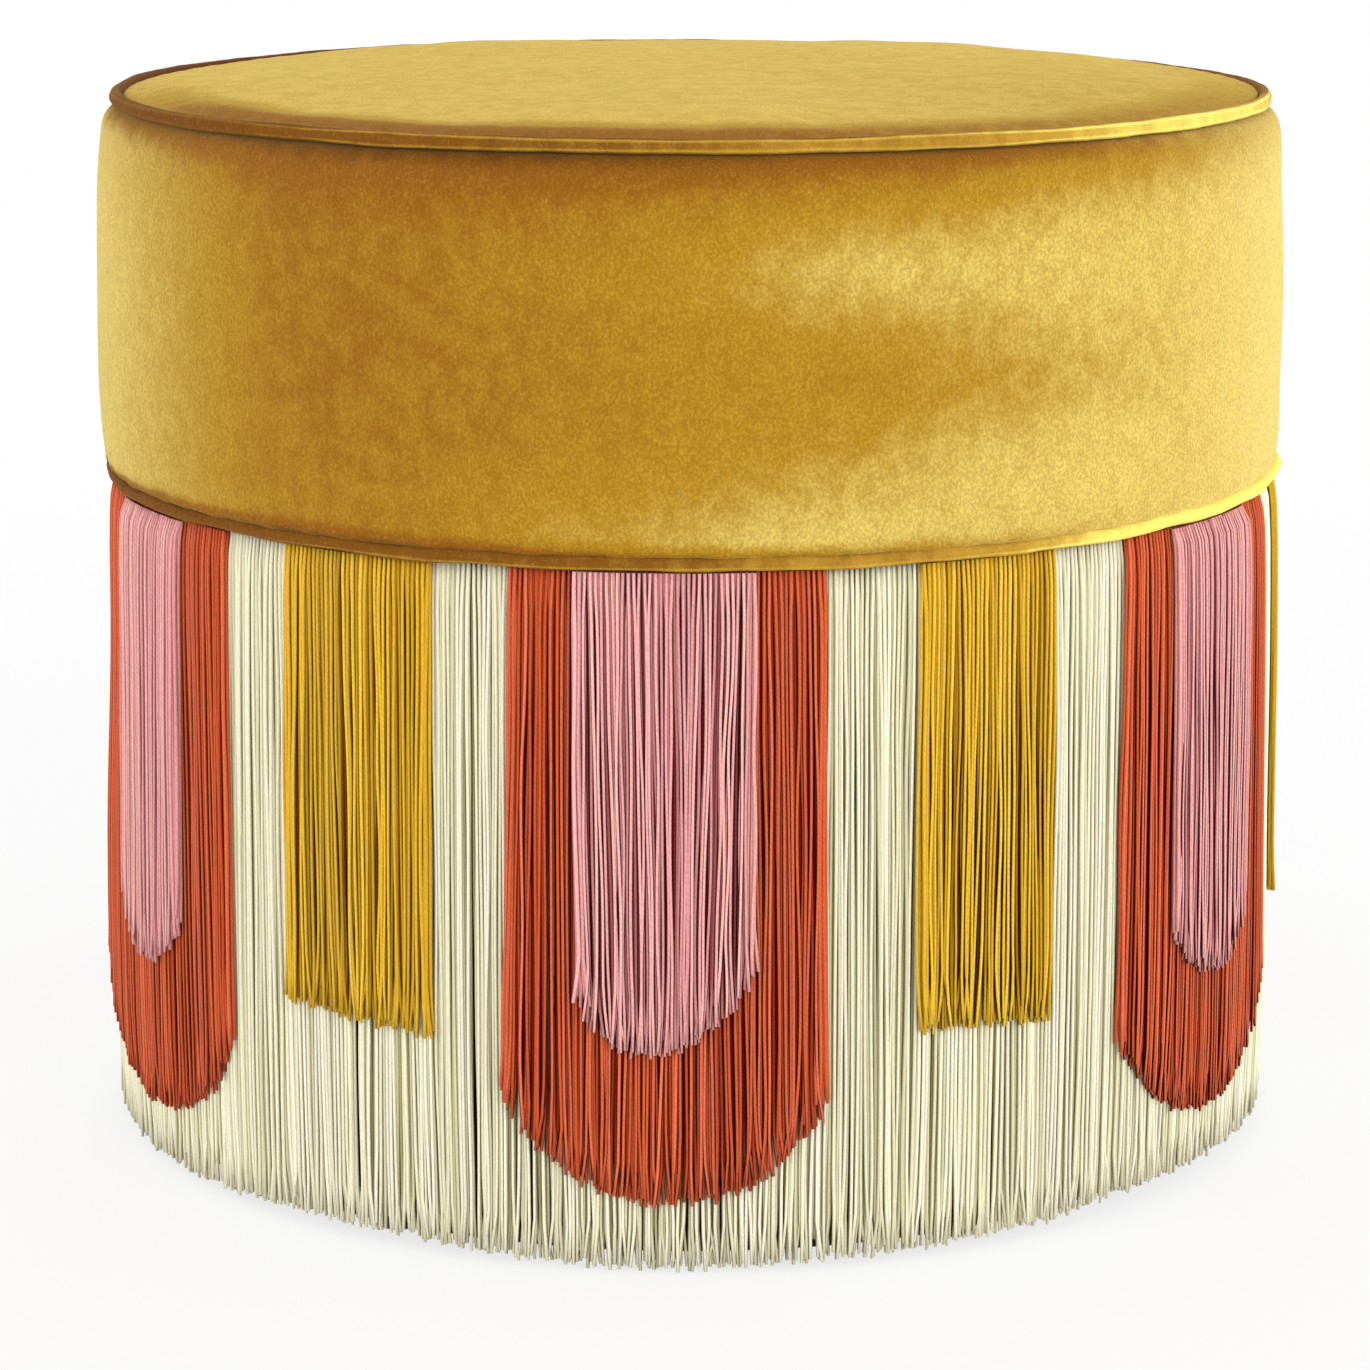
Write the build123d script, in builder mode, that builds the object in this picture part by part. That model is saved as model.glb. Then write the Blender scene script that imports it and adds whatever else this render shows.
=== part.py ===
from build123d import *
import os
from math import asin, cos, degrees, pi, radians, sin

# Round pouf: an upholstered velvet seat on a black plinth, hidden by a layered cord fringe.
# Millimetres, +Z up. The origin is on the floor under the middle, and the front faces -Y.
os.makedirs("parts", exist_ok=True)

# Clearance between soft layers, and between curved faces that lie on each other
ease = 0.3

# Cloths and cord
velvet_thickness = 1.6
welt_cloth = 1.2           # folded velvet round a welt's cord and in its flange
black_cloth = 1.0          # cotton over the plinth
dust_cloth = 0.8           # felt under the plinth
cord_radius = 1.4          # cotton cord inside a welt

# Seat
seat_radius = 250.0        # velvet side at its widest
side_padding = 9.0         # edge of the seat board to the velvet's widest
board_thickness = 18.0
seat_foam_height = 90.0    # firm block
top_foam_height = 42.0     # softer layer, measured at its edge
foam_round = 6.0           # rounded upper edge of the softer layer
crown_rise = 9.5           # middle of the top above its edge
crown_edge = 15.5          # rounded edge of the crown, in from the seam
crown_flat_drop = 5.0      # how far the crown has fallen where that edge starts
side_taper = 3.5           # how far the side draws in below the top welt
tuck_taper = 0.8           # how far the side draws in above the bottom welt
widest_rise = 50.0         # widest place above the tuck
shoulder_round = 8.5       # velvet turning in to the top welt
tuck_round = 4.0           # velvet turning in above the bottom welt
top_welt_setback = 9.5     # widest edge to the middle of the top welt
seam_allowance = 8.0       # cloth inside the top seam
bottom_flange = 22.0       # bottom welt's flange, nailed flat under the board
hem_width = 70.0           # velvet turned under the board

# Plinth
plinth_setback = 12.0      # widest edge of the seat to the plinth's cloth
plinth_height = 270.4      # underside of the base ring to the top of the top ring
ring_thickness = 18.0
ring_width = 50.0
wrap_thickness = 3.0       # bent board round the rings
wrap_seam = 1.5            # gap where the bent board meets itself, at the back
cloth_hem = 33.0           # black cloth turned under the base ring
dust_inset = 5.0           # edge of the dust cover inside the cloth
post_count = 6
post_depth = 40.0
post_width = 46.0
post_chamfer = 2.0

# Feet
glide_count = 6
glide_radius = 11.0
glide_height = 6.0
glide_inset = 14.0         # middle of a glide from the edge of the base ring
glide_chamfer = 1.0

# Fasteners
screw_head_radius = 4.0
screw_head_depth = 2.5
screw_radius = 2.0
screw_length = 50.0
screw_tip = 4.0
screw_spread = 12.0        # each of a post's two screws from the middle of the post
nail_head_radius = 3.5
nail_head = 1.2
nail_radius = 1.25
nail_length = 18.0
nail_tip = 2.5
nail_sunk = 3.0            # nail head below the top of its glide
staple_width = 10.0
staple_leg = 8.0
staple_wire = 0.7
hem_staples = 24           # round the velvet's raw edge, under the seat board
dust_staples = 18          # round the dust cover
staple_inset = 6.0         # staple from the raw edge of the velvet, and from the ring's bore
bolt_count = 3
bolt_radius = 4.0
bolt_head_across = 13.0
bolt_head = 5.3
washer_radius = 12.0
washer_thickness = 2.0
nut_barrel_radius = 5.2
nut_barrel_length = 11.0
nut_flange_radius = 11.0
nut_flange = 1.5

# Fringe
fringe_thickness = 3.0
heading_height = 14.0      # woven band that holds the strands
panel_count = 6            # of each colour, in turn round the pouf
strand_share = 0.86        # strand's width as a share of its pitch
cream_strands = 30         # in each of the skirt's lengths
cream_length = 273.5
ochre_width = 66.0
ochre_length = 188.0
ochre_strands = 12
terracotta_width = 121.0
terracotta_side = 202.0    # length at the panel's sides
terracotta_middle = 248.0  # length at the lowest point of its round end
terracotta_strands = 20
pink_width = 70.0
pink_side = 161.0
pink_middle = 189.0
pink_strands = 12

# Radii, from the outside in
board_radius = seat_radius - side_padding
tuck_radius = board_radius + ease + velvet_thickness
welt_radius = cord_radius + ease + welt_cloth
bottom_welt_radius = tuck_radius + ease + welt_radius
top_welt_radius = seat_radius - top_welt_setback
top_seam_radius = top_welt_radius - seam_allowance
crown_flat_radius = top_seam_radius - crown_edge
hem_radius = tuck_radius - hem_width
shoulder_radius = seat_radius - side_taper - shoulder_round
tuck_turn_radius = seat_radius - tuck_taper - tuck_round
plinth_radius = seat_radius - plinth_setback
cloth_bore = plinth_radius - black_cloth
wrap_radius = cloth_bore - ease
ring_radius = wrap_radius - wrap_thickness
ring_bore = ring_radius - ring_width
post_circle = ring_radius - ring_width / 2
glide_circle = ring_radius - glide_inset
cream_radius = plinth_radius + ease
middle_radius = cream_radius + fringe_thickness + ease
pink_radius = middle_radius + fringe_thickness + ease
cream_width = 2 * pi * cream_radius / panel_count - ease

# Heights, from the floor up
dust_z = glide_height
cloth_z = dust_z + dust_cloth
base_z = cloth_z + black_cloth
post_z = base_z + ring_thickness
plinth_top_z = base_z + plinth_height
post_top_z = plinth_top_z - ring_thickness
fringe_z = plinth_top_z - ease
hem_z = plinth_top_z + welt_cloth
board_z = hem_z + velvet_thickness
board_top_z = board_z + board_thickness
foam_top_z = board_top_z + seat_foam_height
foam_edge_z = foam_top_z + top_foam_height
seam_z = foam_edge_z + ease + velvet_thickness
panel_z = seam_z + welt_cloth
bottom_welt_top_z = plinth_top_z + 2 * welt_radius
tuck_z = bottom_welt_top_z + ease + tuck_round
shoulder_z = seam_z - shoulder_round

front = -90.0                          # polar angle of the front
post_step = 360.0 / post_count
bolt_start = front + post_step / 2     # bolts stand midway between posts
glide_step = 360.0 / glide_count
panel_step = 360.0 / panel_count


def save(piece, name):
    piece.part.label = name
    export_step(piece.part, "parts/" + name + ".step")


# Upright plane at an angle from the front: x along the rim, y up, z outwards
def facing_plane(angle):
    outward = Vector(sin(radians(angle)), -cos(radians(angle)), 0)
    along = Vector(cos(radians(angle)), sin(radians(angle)), 0)
    return Plane(origin=(0, 0, 0), x_dir=along, z_dir=outward)


# Level plane at an angle, radius and height, with x pointing outwards
def level_plane(angle, radius, height):
    outward = Vector(sin(radians(angle)), -cos(radians(angle)), 0)
    return Plane(origin=outward * radius + Vector(0, 0, height), x_dir=outward, z_dir=(0, 0, 1))


# Fasteners, made first because the pieces they go through are cut by them
with BuildPart() as screw:
    with BuildSketch(Plane.XZ):
        with BuildLine():
            Polyline(
                (0, 0),
                (screw_head_radius, 0),
                (screw_radius, screw_head_depth),
                (screw_radius, screw_length - screw_tip),
                (0, screw_length),
                close=True,
            )
        make_face()
    revolve(axis=Axis.Z)

with BuildPart() as plinth_screws:
    with Locations((0, 0, base_z)):
        with PolarLocations(post_circle, post_count, start_angle=front):
            with Locations((0, screw_spread), (0, -screw_spread)):
                add(screw.part)
    with Locations((0, 0, plinth_top_z)):
        with PolarLocations(post_circle, post_count, start_angle=front):
            with Locations((0, screw_spread), (0, -screw_spread)):
                add(screw.part, rotation=(180, 0, 0))
save(plinth_screws, "plinth_screws")

with BuildPart() as nail:
    with BuildSketch(Plane.XZ):
        with BuildLine():
            Polyline(
                (0, 0),
                (nail_head_radius, 0),
                (nail_head_radius, nail_head),
                (nail_radius, nail_head),
                (nail_radius, nail_length - nail_tip),
                (0, nail_length),
                close=True,
            )
        make_face()
    revolve(axis=Axis.Z)

with BuildPart() as glide_nails:
    with Locations((0, 0, glide_height - nail_sunk)):
        with PolarLocations(glide_circle, glide_count, start_angle=front + glide_step / 2):
            add(nail.part)
save(glide_nails, "glide_nails")

with BuildPart() as staple:
    with BuildSketch(Plane.YZ):
        Rectangle(staple_width, staple_leg + staple_wire, align=(Align.CENTER, Align.MIN))
        with Locations((0, staple_wire)):
            Rectangle(
                staple_width - 2 * staple_wire,
                staple_leg,
                align=(Align.CENTER, Align.MIN),
                mode=Mode.SUBTRACT,
            )
    extrude(amount=staple_wire / 2, both=True)

with BuildPart() as staples:
    with Locations((0, 0, hem_z - staple_wire)):
        with PolarLocations(hem_radius + staple_inset, hem_staples, start_angle=front):
            add(staple.part)
    with Locations((0, 0, dust_z - staple_wire)):
        with PolarLocations(ring_bore + staple_inset, dust_staples, start_angle=front):
            add(staple.part)
save(staples, "staples")

# Seat bolts come up through the top ring into flanged nuts that are pressed into the board
washer_z = post_top_z - washer_thickness
bolt_end_z = board_top_z + nut_flange

with BuildPart() as seat_bolts:
    with BuildSketch(Plane.XY.offset(washer_z - bolt_head)):
        with PolarLocations(post_circle, bolt_count, start_angle=bolt_start):
            RegularPolygon(bolt_head_across / 2, 6, major_radius=False)
    extrude(amount=bolt_head)
    with BuildSketch(Plane.XY.offset(washer_z)):
        with PolarLocations(post_circle, bolt_count, start_angle=bolt_start):
            Circle(bolt_radius)
    extrude(amount=bolt_end_z - washer_z)
save(seat_bolts, "seat_bolts")

with BuildPart() as seat_washers:
    with BuildSketch(Plane.XY.offset(washer_z)):
        with PolarLocations(post_circle, bolt_count, start_angle=bolt_start):
            Circle(washer_radius)
            Circle(bolt_radius + ease, mode=Mode.SUBTRACT)
    extrude(amount=washer_thickness)
save(seat_washers, "seat_washers")

with BuildPart() as flanged_nuts:
    with BuildSketch(Plane.XY.offset(board_top_z)):
        with PolarLocations(post_circle, bolt_count, start_angle=bolt_start):
            Circle(nut_flange_radius)
            Circle(bolt_radius, mode=Mode.SUBTRACT)
    extrude(amount=nut_flange)
    with BuildSketch(Plane.XY.offset(board_top_z)):
        with PolarLocations(post_circle, bolt_count, start_angle=bolt_start):
            Circle(nut_barrel_radius)
            Circle(bolt_radius, mode=Mode.SUBTRACT)
    extrude(amount=-nut_barrel_length)
save(flanged_nuts, "flanged_nuts")

# Room round the bolts in what they pass through
with BuildPart() as bolt_holes:
    with BuildSketch(Plane.XY.offset(washer_z)):
        with PolarLocations(post_circle, bolt_count, start_angle=bolt_start):
            Circle(bolt_radius + ease)
    extrude(amount=bolt_end_z - washer_z)

# Plinth
with BuildPart() as base_ring:
    with BuildSketch(Plane.XY.offset(base_z)):
        Circle(ring_radius)
        Circle(ring_bore, mode=Mode.SUBTRACT)
    extrude(amount=ring_thickness)
    add(plinth_screws.part, mode=Mode.SUBTRACT)
    add(glide_nails.part, mode=Mode.SUBTRACT)
    add(staples.part, mode=Mode.SUBTRACT)
save(base_ring, "base_ring")

with BuildPart() as plinth_top_ring:
    with BuildSketch(Plane.XY.offset(post_top_z)):
        Circle(ring_radius)
        Circle(ring_bore, mode=Mode.SUBTRACT)
    extrude(amount=ring_thickness)
    add(plinth_screws.part, mode=Mode.SUBTRACT)
    add(bolt_holes.part, mode=Mode.SUBTRACT)
save(plinth_top_ring, "plinth_top_ring")

for number in range(post_count):
    with BuildPart() as post:
        with BuildSketch(level_plane(number * post_step, post_circle, post_z)):
            Rectangle(post_depth, post_width)
        extrude(amount=post_top_z - post_z)
        chamfer(post.edges().filter_by(Axis.Z), post_chamfer)
        add(plinth_screws.part, mode=Mode.SUBTRACT)
    save(post, "plinth_post_" + str(number + 1))

with BuildPart() as plinth_wrap:
    with BuildSketch(Plane.XY.offset(base_z)):
        Circle(wrap_radius)
        Circle(ring_radius, mode=Mode.SUBTRACT)
        with Locations((0, wrap_radius)):
            Rectangle(wrap_seam, 4 * wrap_thickness, mode=Mode.SUBTRACT)
    extrude(amount=plinth_height)
save(plinth_wrap, "plinth_wrap")

with BuildPart() as plinth_cloth:
    with BuildSketch(Plane.XZ):
        with BuildLine():
            Polyline(
                (plinth_radius - cloth_hem, cloth_z),
                (plinth_radius, cloth_z),
                (plinth_radius, plinth_top_z),
                (cloth_bore, plinth_top_z),
                (cloth_bore, base_z),
                (plinth_radius - cloth_hem, base_z),
                close=True,
            )
        make_face()
    revolve(axis=Axis.Z)
    add(glide_nails.part, mode=Mode.SUBTRACT)
save(plinth_cloth, "plinth_cloth")

with BuildPart() as dust_cover:
    with BuildSketch(Plane.XY.offset(dust_z)):
        Circle(plinth_radius - dust_inset)
    extrude(amount=dust_cloth)
    add(glide_nails.part, mode=Mode.SUBTRACT)
    add(staples.part, mode=Mode.SUBTRACT)
save(dust_cover, "dust_cover")

for number in range(glide_count):
    with BuildPart() as glide:
        with BuildSketch(level_plane((number + 0.5) * glide_step, glide_circle, 0)):
            Circle(glide_radius)
        extrude(amount=glide_height)
        chamfer(glide.edges().group_by(Axis.Z)[0], glide_chamfer)
        add(glide_nails.part, mode=Mode.SUBTRACT)
    save(glide, "glide_" + str(number + 1))

# Seat board and foam
with BuildPart() as seat_board:
    with BuildSketch(Plane.XY.offset(board_z)):
        Circle(board_radius)
    extrude(amount=board_thickness)
    add(bolt_holes.part, mode=Mode.SUBTRACT)
    add(flanged_nuts.part, mode=Mode.SUBTRACT)
    add(staples.part, mode=Mode.SUBTRACT)
save(seat_board, "seat_board")

with BuildPart() as seat_foam:
    with BuildSketch(Plane.XY.offset(board_top_z)):
        Circle(board_radius)
    extrude(amount=seat_foam_height)
    add(flanged_nuts.part, mode=Mode.SUBTRACT)
    add(seat_bolts.part, mode=Mode.SUBTRACT)
save(seat_foam, "seat_foam")

crown_sphere = (crown_flat_radius**2 + crown_flat_drop**2) / (2 * crown_flat_drop)


# Crown of one layer of the top, from the middle out to the seam, where it stands at edge_z
def crown_line(edge_z):
    middle_z = edge_z + crown_rise
    flat_angle = degrees(asin(crown_flat_radius / crown_sphere))
    flat = CenterArc((0, middle_z - crown_sphere), crown_sphere, 90, -flat_angle)
    TangentArc(flat @ 1, (top_seam_radius, edge_z), tangent=flat % 1)


with BuildPart() as top_foam:
    with BuildSketch(Plane.XZ):
        with BuildLine():
            crown_line(foam_edge_z)
            Line((top_seam_radius, foam_edge_z), (board_radius - foam_round, foam_edge_z))
            CenterArc((board_radius - foam_round, foam_edge_z - foam_round), foam_round, 90, -90)
            Polyline(
                (board_radius, foam_edge_z - foam_round),
                (board_radius, foam_top_z),
                (0, foam_top_z),
                (0, foam_edge_z + crown_rise),
            )
        make_face()
    revolve(axis=Axis.Z)
save(top_foam, "top_foam")

# Wadding levels the top with the layers of the seam
wadding_low_z = foam_edge_z + ease
wadding_high_z = panel_z - ease

with BuildPart() as top_wadding:
    with BuildSketch(Plane.XZ):
        with BuildLine():
            crown_line(wadding_high_z)
            Line((top_seam_radius, wadding_high_z), (top_seam_radius, wadding_low_z))
            crown_line(wadding_low_z)
            Line((0, wadding_low_z + crown_rise), (0, wadding_high_z + crown_rise))
        make_face()
    revolve(axis=Axis.Z)
save(top_wadding, "top_wadding")


# Barrel of the seat's side, from the shoulder down to the tuck, moved in by inset
def side_line(inset):
    ThreePointArc(
        (seat_radius - side_taper - inset, shoulder_z),
        (seat_radius - inset, tuck_z + widest_rise),
        (seat_radius - tuck_taper - inset, tuck_z),
    )


side_ease = velvet_thickness + ease

with BuildPart() as side_wadding:
    with BuildSketch(Plane.XZ):
        with BuildLine():
            side_line(side_ease)
            Polyline(
                (seat_radius - tuck_taper - side_ease, tuck_z),
                (board_radius + ease, tuck_z),
                (board_radius + ease, shoulder_z),
                (seat_radius - side_taper - side_ease, shoulder_z),
            )
        make_face()
    revolve(axis=Axis.Z)
save(side_wadding, "side_wadding")

# Velvet cover
with BuildPart() as velvet_top:
    with BuildSketch(Plane.XZ):
        with BuildLine():
            top_edge = top_welt_radius - welt_radius - ease
            top_z = panel_z + velvet_thickness
            crown_line(top_z)
            Polyline(
                (top_seam_radius, top_z),
                (top_edge, top_z),
                (top_edge, panel_z),
                (top_seam_radius, panel_z),
            )
            crown_line(panel_z)
            Line((0, panel_z + crown_rise), (0, top_z + crown_rise))
        make_face()
    revolve(axis=Axis.Z)
save(velvet_top, "velvet_top")


# One face of the velvet side: in under the top welt, over the shoulder, down the barrel,
# in behind the bottom welt and under the board, moved in by inset
def cover_line(inset):
    Line((top_seam_radius, seam_z - inset), (shoulder_radius, seam_z - inset))
    CenterArc((shoulder_radius, shoulder_z), shoulder_round - inset, 90, -90)
    side_line(inset)
    CenterArc((tuck_turn_radius, tuck_z), tuck_round - inset, 0, -90)
    Polyline(
        (tuck_turn_radius, tuck_z - tuck_round + inset),
        (tuck_radius - inset, tuck_z - tuck_round + inset),
        (tuck_radius - inset, hem_z + inset),
        (hem_radius, hem_z + inset),
    )


with BuildPart() as velvet_side:
    with BuildSketch(Plane.XZ):
        with BuildLine():
            cover_line(0)
            cover_line(velvet_thickness)
            Line((top_seam_radius, seam_z), (top_seam_radius, seam_z - velvet_thickness))
            Line((hem_radius, hem_z), (hem_radius, hem_z + velvet_thickness))
        make_face()
    revolve(axis=Axis.Z)
    add(bolt_holes.part, mode=Mode.SUBTRACT)
    add(staples.part, mode=Mode.SUBTRACT)
save(velvet_side, "velvet_side")


# Welts: a cord in a tube of velvet, with a flat flange level with the tube's underside
def make_welt(name, radius, low_z, flange):
    with BuildPart() as cover:
        with BuildSketch(Plane.XZ):
            with Locations((radius, low_z + welt_radius)):
                Circle(welt_radius)
            with Locations((radius - flange, low_z)):
                Rectangle(flange, welt_cloth, align=(Align.MIN, Align.MIN))
            with Locations((radius, low_z + welt_radius)):
                Circle(cord_radius + ease, mode=Mode.SUBTRACT)
        revolve(axis=Axis.Z)
    save(cover, name + "_cover")
    with BuildPart() as cord:
        with BuildSketch(Plane.XZ):
            with Locations((radius, low_z + welt_radius)):
                Circle(cord_radius)
        revolve(axis=Axis.Z)
    save(cord, name + "_cord")


make_welt("top_welt", top_welt_radius, seam_z, seam_allowance)
make_welt("bottom_welt", bottom_welt_radius, plinth_top_z, bottom_flange)


# Fringe: strands side by side under a woven heading
def hang_strands(radius, length, count, start_angle, span):
    pitch_angle = span / count
    middle = radius + fringe_thickness / 2
    strand_width = strand_share * radians(pitch_angle) * radius
    with BuildSketch(Plane.XY.offset(fringe_z - heading_height)) as strands:
        with PolarLocations(middle, count, start_angle=start_angle + pitch_angle / 2, angular_range=span):
            Rectangle(fringe_thickness - ease, strand_width)
    extrude(strands.sketch, amount=heading_height - length)


# A panel of fringe at an angle from the front, cut to a round end where middle is longer than side
def make_panel(name, angle, radius, width, side, middle, count):
    span = degrees(width / radius)
    start = front + angle - span / 2
    with BuildPart() as panel:
        with BuildSketch(Plane.XY.offset(fringe_z)):
            with BuildLine():
                inner = CenterArc((0, 0), radius, start, span)
                outer = CenterArc((0, 0), radius + fringe_thickness, start, span)
                Line(inner @ 0, outer @ 0)
                Line(inner @ 1, outer @ 1)
            make_face()
        extrude(amount=-heading_height)
        hang_strands(radius, middle, count, start, span)
        if middle > side:
            with BuildSketch(facing_plane(angle)):
                with BuildLine():
                    Polyline(
                        (-width / 2, fringe_z - side),
                        (-width / 2, fringe_z),
                        (width / 2, fringe_z),
                        (width / 2, fringe_z - side),
                    )
                    ThreePointArc(
                        (width / 2, fringe_z - side),
                        (0, fringe_z - middle),
                        (-width / 2, fringe_z - side),
                    )
                make_face()
            extrude(amount=2 * seat_radius, mode=Mode.INTERSECT)
    save(panel, name)


for number in range(panel_count):
    label = str(number + 1)
    facing = number * panel_step
    between = facing + panel_step / 2
    make_panel("cream_fringe_" + label, facing, cream_radius,
               cream_width, cream_length, cream_length, cream_strands)
    make_panel("ochre_fringe_" + label, between, middle_radius,
               ochre_width, ochre_length, ochre_length, ochre_strands)
    make_panel("terracotta_fringe_" + label, facing, middle_radius,
               terracotta_width, terracotta_side, terracotta_middle, terracotta_strands)
    make_panel("pink_fringe_" + label, facing, pink_radius,
               pink_width, pink_side, pink_middle, pink_strands)
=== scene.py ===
import math
import bpy
import numpy as np
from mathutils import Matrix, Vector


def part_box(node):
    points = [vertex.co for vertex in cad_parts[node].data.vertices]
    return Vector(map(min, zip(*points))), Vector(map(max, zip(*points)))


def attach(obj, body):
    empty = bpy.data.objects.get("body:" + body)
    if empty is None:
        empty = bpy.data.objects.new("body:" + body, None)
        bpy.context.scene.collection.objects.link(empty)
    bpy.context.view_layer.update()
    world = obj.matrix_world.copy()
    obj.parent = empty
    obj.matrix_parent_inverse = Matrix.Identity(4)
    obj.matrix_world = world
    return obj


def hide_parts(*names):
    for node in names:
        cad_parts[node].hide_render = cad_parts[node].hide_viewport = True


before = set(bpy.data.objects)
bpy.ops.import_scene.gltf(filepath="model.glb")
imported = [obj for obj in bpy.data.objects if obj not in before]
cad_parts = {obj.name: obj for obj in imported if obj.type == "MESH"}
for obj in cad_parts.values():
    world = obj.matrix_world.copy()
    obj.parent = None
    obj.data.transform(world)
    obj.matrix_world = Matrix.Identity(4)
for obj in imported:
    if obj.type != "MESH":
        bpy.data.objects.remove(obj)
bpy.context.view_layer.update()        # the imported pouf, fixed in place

print("frame loaded:", len(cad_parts), "nodes")


# Colours are written as screen values, 0 to 255, and handed on as linear light
def colour(red, green, blue):
    shares = np.array([red, green, blue]) / 255.0
    linear = np.where(shares <= 0.04045, shares / 12.92, ((shares + 0.055) / 1.055) ** 2.4)
    return (*[float(c) for c in linear], 1.0)


# Mesh helpers, with all lengths in metres
meshSettings = {
    "tiny": 1e-9,              # less than this counts as nothing
    "samePoint": 1e-7,         # points closer than this become one
    "nearly": 1e-6,            # slack when a place on an outline is looked up
    "mapMargin": 0.02,         # empty edge of the bake map
}


def softStep(share):
    share = np.clip(share, 0.0, 1.0)
    return share * share * (3.0 - 2.0 * share)


def meshPoints(mesh):
    flat = np.zeros(len(mesh.vertices) * 3)
    mesh.vertices.foreach_get("co", flat)
    return flat.reshape(-1, 3)


# A mesh of four-cornered faces from arrays, quick enough for thousands of cords
def quadMesh(name, points, quads):
    mesh = bpy.data.meshes.new(name)
    mesh.vertices.add(len(points))
    mesh.vertices.foreach_set("co", points.astype(np.float32).ravel())
    mesh.loops.add(quads.size)
    mesh.loops.foreach_set("vertex_index", quads.astype(np.int32).ravel())
    mesh.polygons.add(len(quads))
    mesh.polygons.foreach_set("loop_start", np.arange(0, quads.size, 4, dtype=np.int32))
    mesh.update(calc_edges=True)
    return mesh


def setCornerMap(mesh, name, corners):
    layer = mesh.uv_layers.new(name=name)
    layer.data.foreach_set("uv", corners.astype(np.float32).ravel())


def setPointValue(mesh, name, values):
    layer = mesh.attributes.new(name, "FLOAT", "POINT")
    layer.data.foreach_set("value", values.astype(np.float32).ravel())


# Puts a finished mesh in the scene in place of the CAD node it stands for
def standIn(mesh, node, material):
    piece = bpy.data.objects.new(mesh.name, mesh)
    bpy.context.scene.collection.objects.link(piece)
    mesh.polygons.foreach_set("use_smooth", np.ones(len(mesh.polygons), dtype=bool))
    mesh.materials.append(material)
    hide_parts(node)
    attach(piece, "root")
    return piece


# Even steps round a full turn, in radians
def fullTurn(count):
    return np.arange(count) * 2.0 * math.pi / count


# Points round the upright axis: a turn of zero is the front, and it grows to the right
def aboutAxis(radii, turn, heights):
    return np.stack([radii * np.sin(turn), -radii * np.cos(turn), heights], axis=-1)


# Turns outlines round the upright axis. Each outline is (radii, heights), arrays of points by steps
# round the axis, and closes on itself. It goes up the outside, so that its faces look outwards.
# A row of zero radius becomes a single point on the axis.
def turnedMesh(name, outlines):
    points = []
    faces = []
    corners = []
    for number, (radii, heights) in enumerate(outlines):
        rows, around = radii.shape
        turn = fullTurn(around)
        onAxis = radii.max(axis=1) < meshSettings["tiny"]
        rowStarts = []
        for row in range(rows):
            rowStarts.append(len(points))
            if onAxis[row]:
                points.append((0.0, 0.0, float(heights[row, 0])))
            else:
                points.extend(aboutAxis(radii[row], turn, heights[row]).tolist())
        stepsOut = np.diff(radii[:, 0], append=radii[0, 0])
        stepsUp = np.diff(heights[:, 0], append=heights[0, 0])
        steps = np.hypot(stepsOut, stepsUp)
        along = np.concatenate([[0.0], np.cumsum(steps)]) / steps.sum()
        bandStart = (number + meshSettings["mapMargin"]) / len(outlines)
        bandHeight = (1.0 - 2.0 * meshSettings["mapMargin"]) / len(outlines)
        for row in range(rows):
            after = (row + 1) % rows
            if onAxis[row] and onAxis[after]:
                continue
            low = bandStart + bandHeight * along[row]
            high = bandStart + bandHeight * along[row + 1]
            for step in range(around):
                nextStep = (step + 1) % around
                left = step / around
                right = (step + 1) / around
                if onAxis[row]:
                    faces.append((rowStarts[row], rowStarts[after] + nextStep, rowStarts[after] + step))
                    corners.extend(((left, low), (right, high), (left, high)))
                elif onAxis[after]:
                    faces.append((rowStarts[row] + step, rowStarts[row] + nextStep, rowStarts[after]))
                    corners.extend(((left, low), (right, low), (left, high)))
                else:
                    faces.append((rowStarts[row] + step, rowStarts[row] + nextStep,
                                  rowStarts[after] + nextStep, rowStarts[after] + step))
                    corners.extend(((left, low), (right, low), (right, high), (left, high)))
    mesh = bpy.data.meshes.new(name)
    mesh.from_pydata(points, [], faces)
    mesh.update()
    setCornerMap(mesh, "OFBake", np.array(corners))
    return mesh


# Outline pieces, as arrays of (radius, height)
def arcLine(centre, radius, startDegrees, endDegrees, count):
    angles = np.radians(np.linspace(startDegrees, endDegrees, count))
    return np.stack([centre[0] + radius * np.cos(angles), centre[1] + radius * np.sin(angles)], axis=1)


def straightLine(start, end, count):
    share = np.linspace(0.0, 1.0, count)[:, None]
    return np.array(start) * (1.0 - share) + np.array(end) * share


# The arc through three points, from the first to the last
def bowedLine(start, middle, end, count):
    a, b, c = np.array(start), np.array(middle), np.array(end)
    matrix = 2.0 * np.array([b - a, c - a])
    centre = np.linalg.solve(matrix, np.array([b @ b - a @ a, c @ c - a @ a]))
    first = math.atan2(a[1] - centre[1], a[0] - centre[0])
    last = math.atan2(c[1] - centre[1], c[0] - centre[0])
    return arcLine(centre, np.linalg.norm(a - centre), math.degrees(first), math.degrees(last), count)


def joinLines(*lines):
    joined = np.concatenate(lines)
    gaps = np.linalg.norm(np.diff(joined, axis=0), axis=1)
    return joined[np.concatenate([[True], gaps > meshSettings["samePoint"]])]


# An outline as it is at every step round the axis
def roundAbout(line, around):
    return np.repeat(line[:, :1], around, axis=1), np.repeat(line[:, 1:], around, axis=1)


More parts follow.
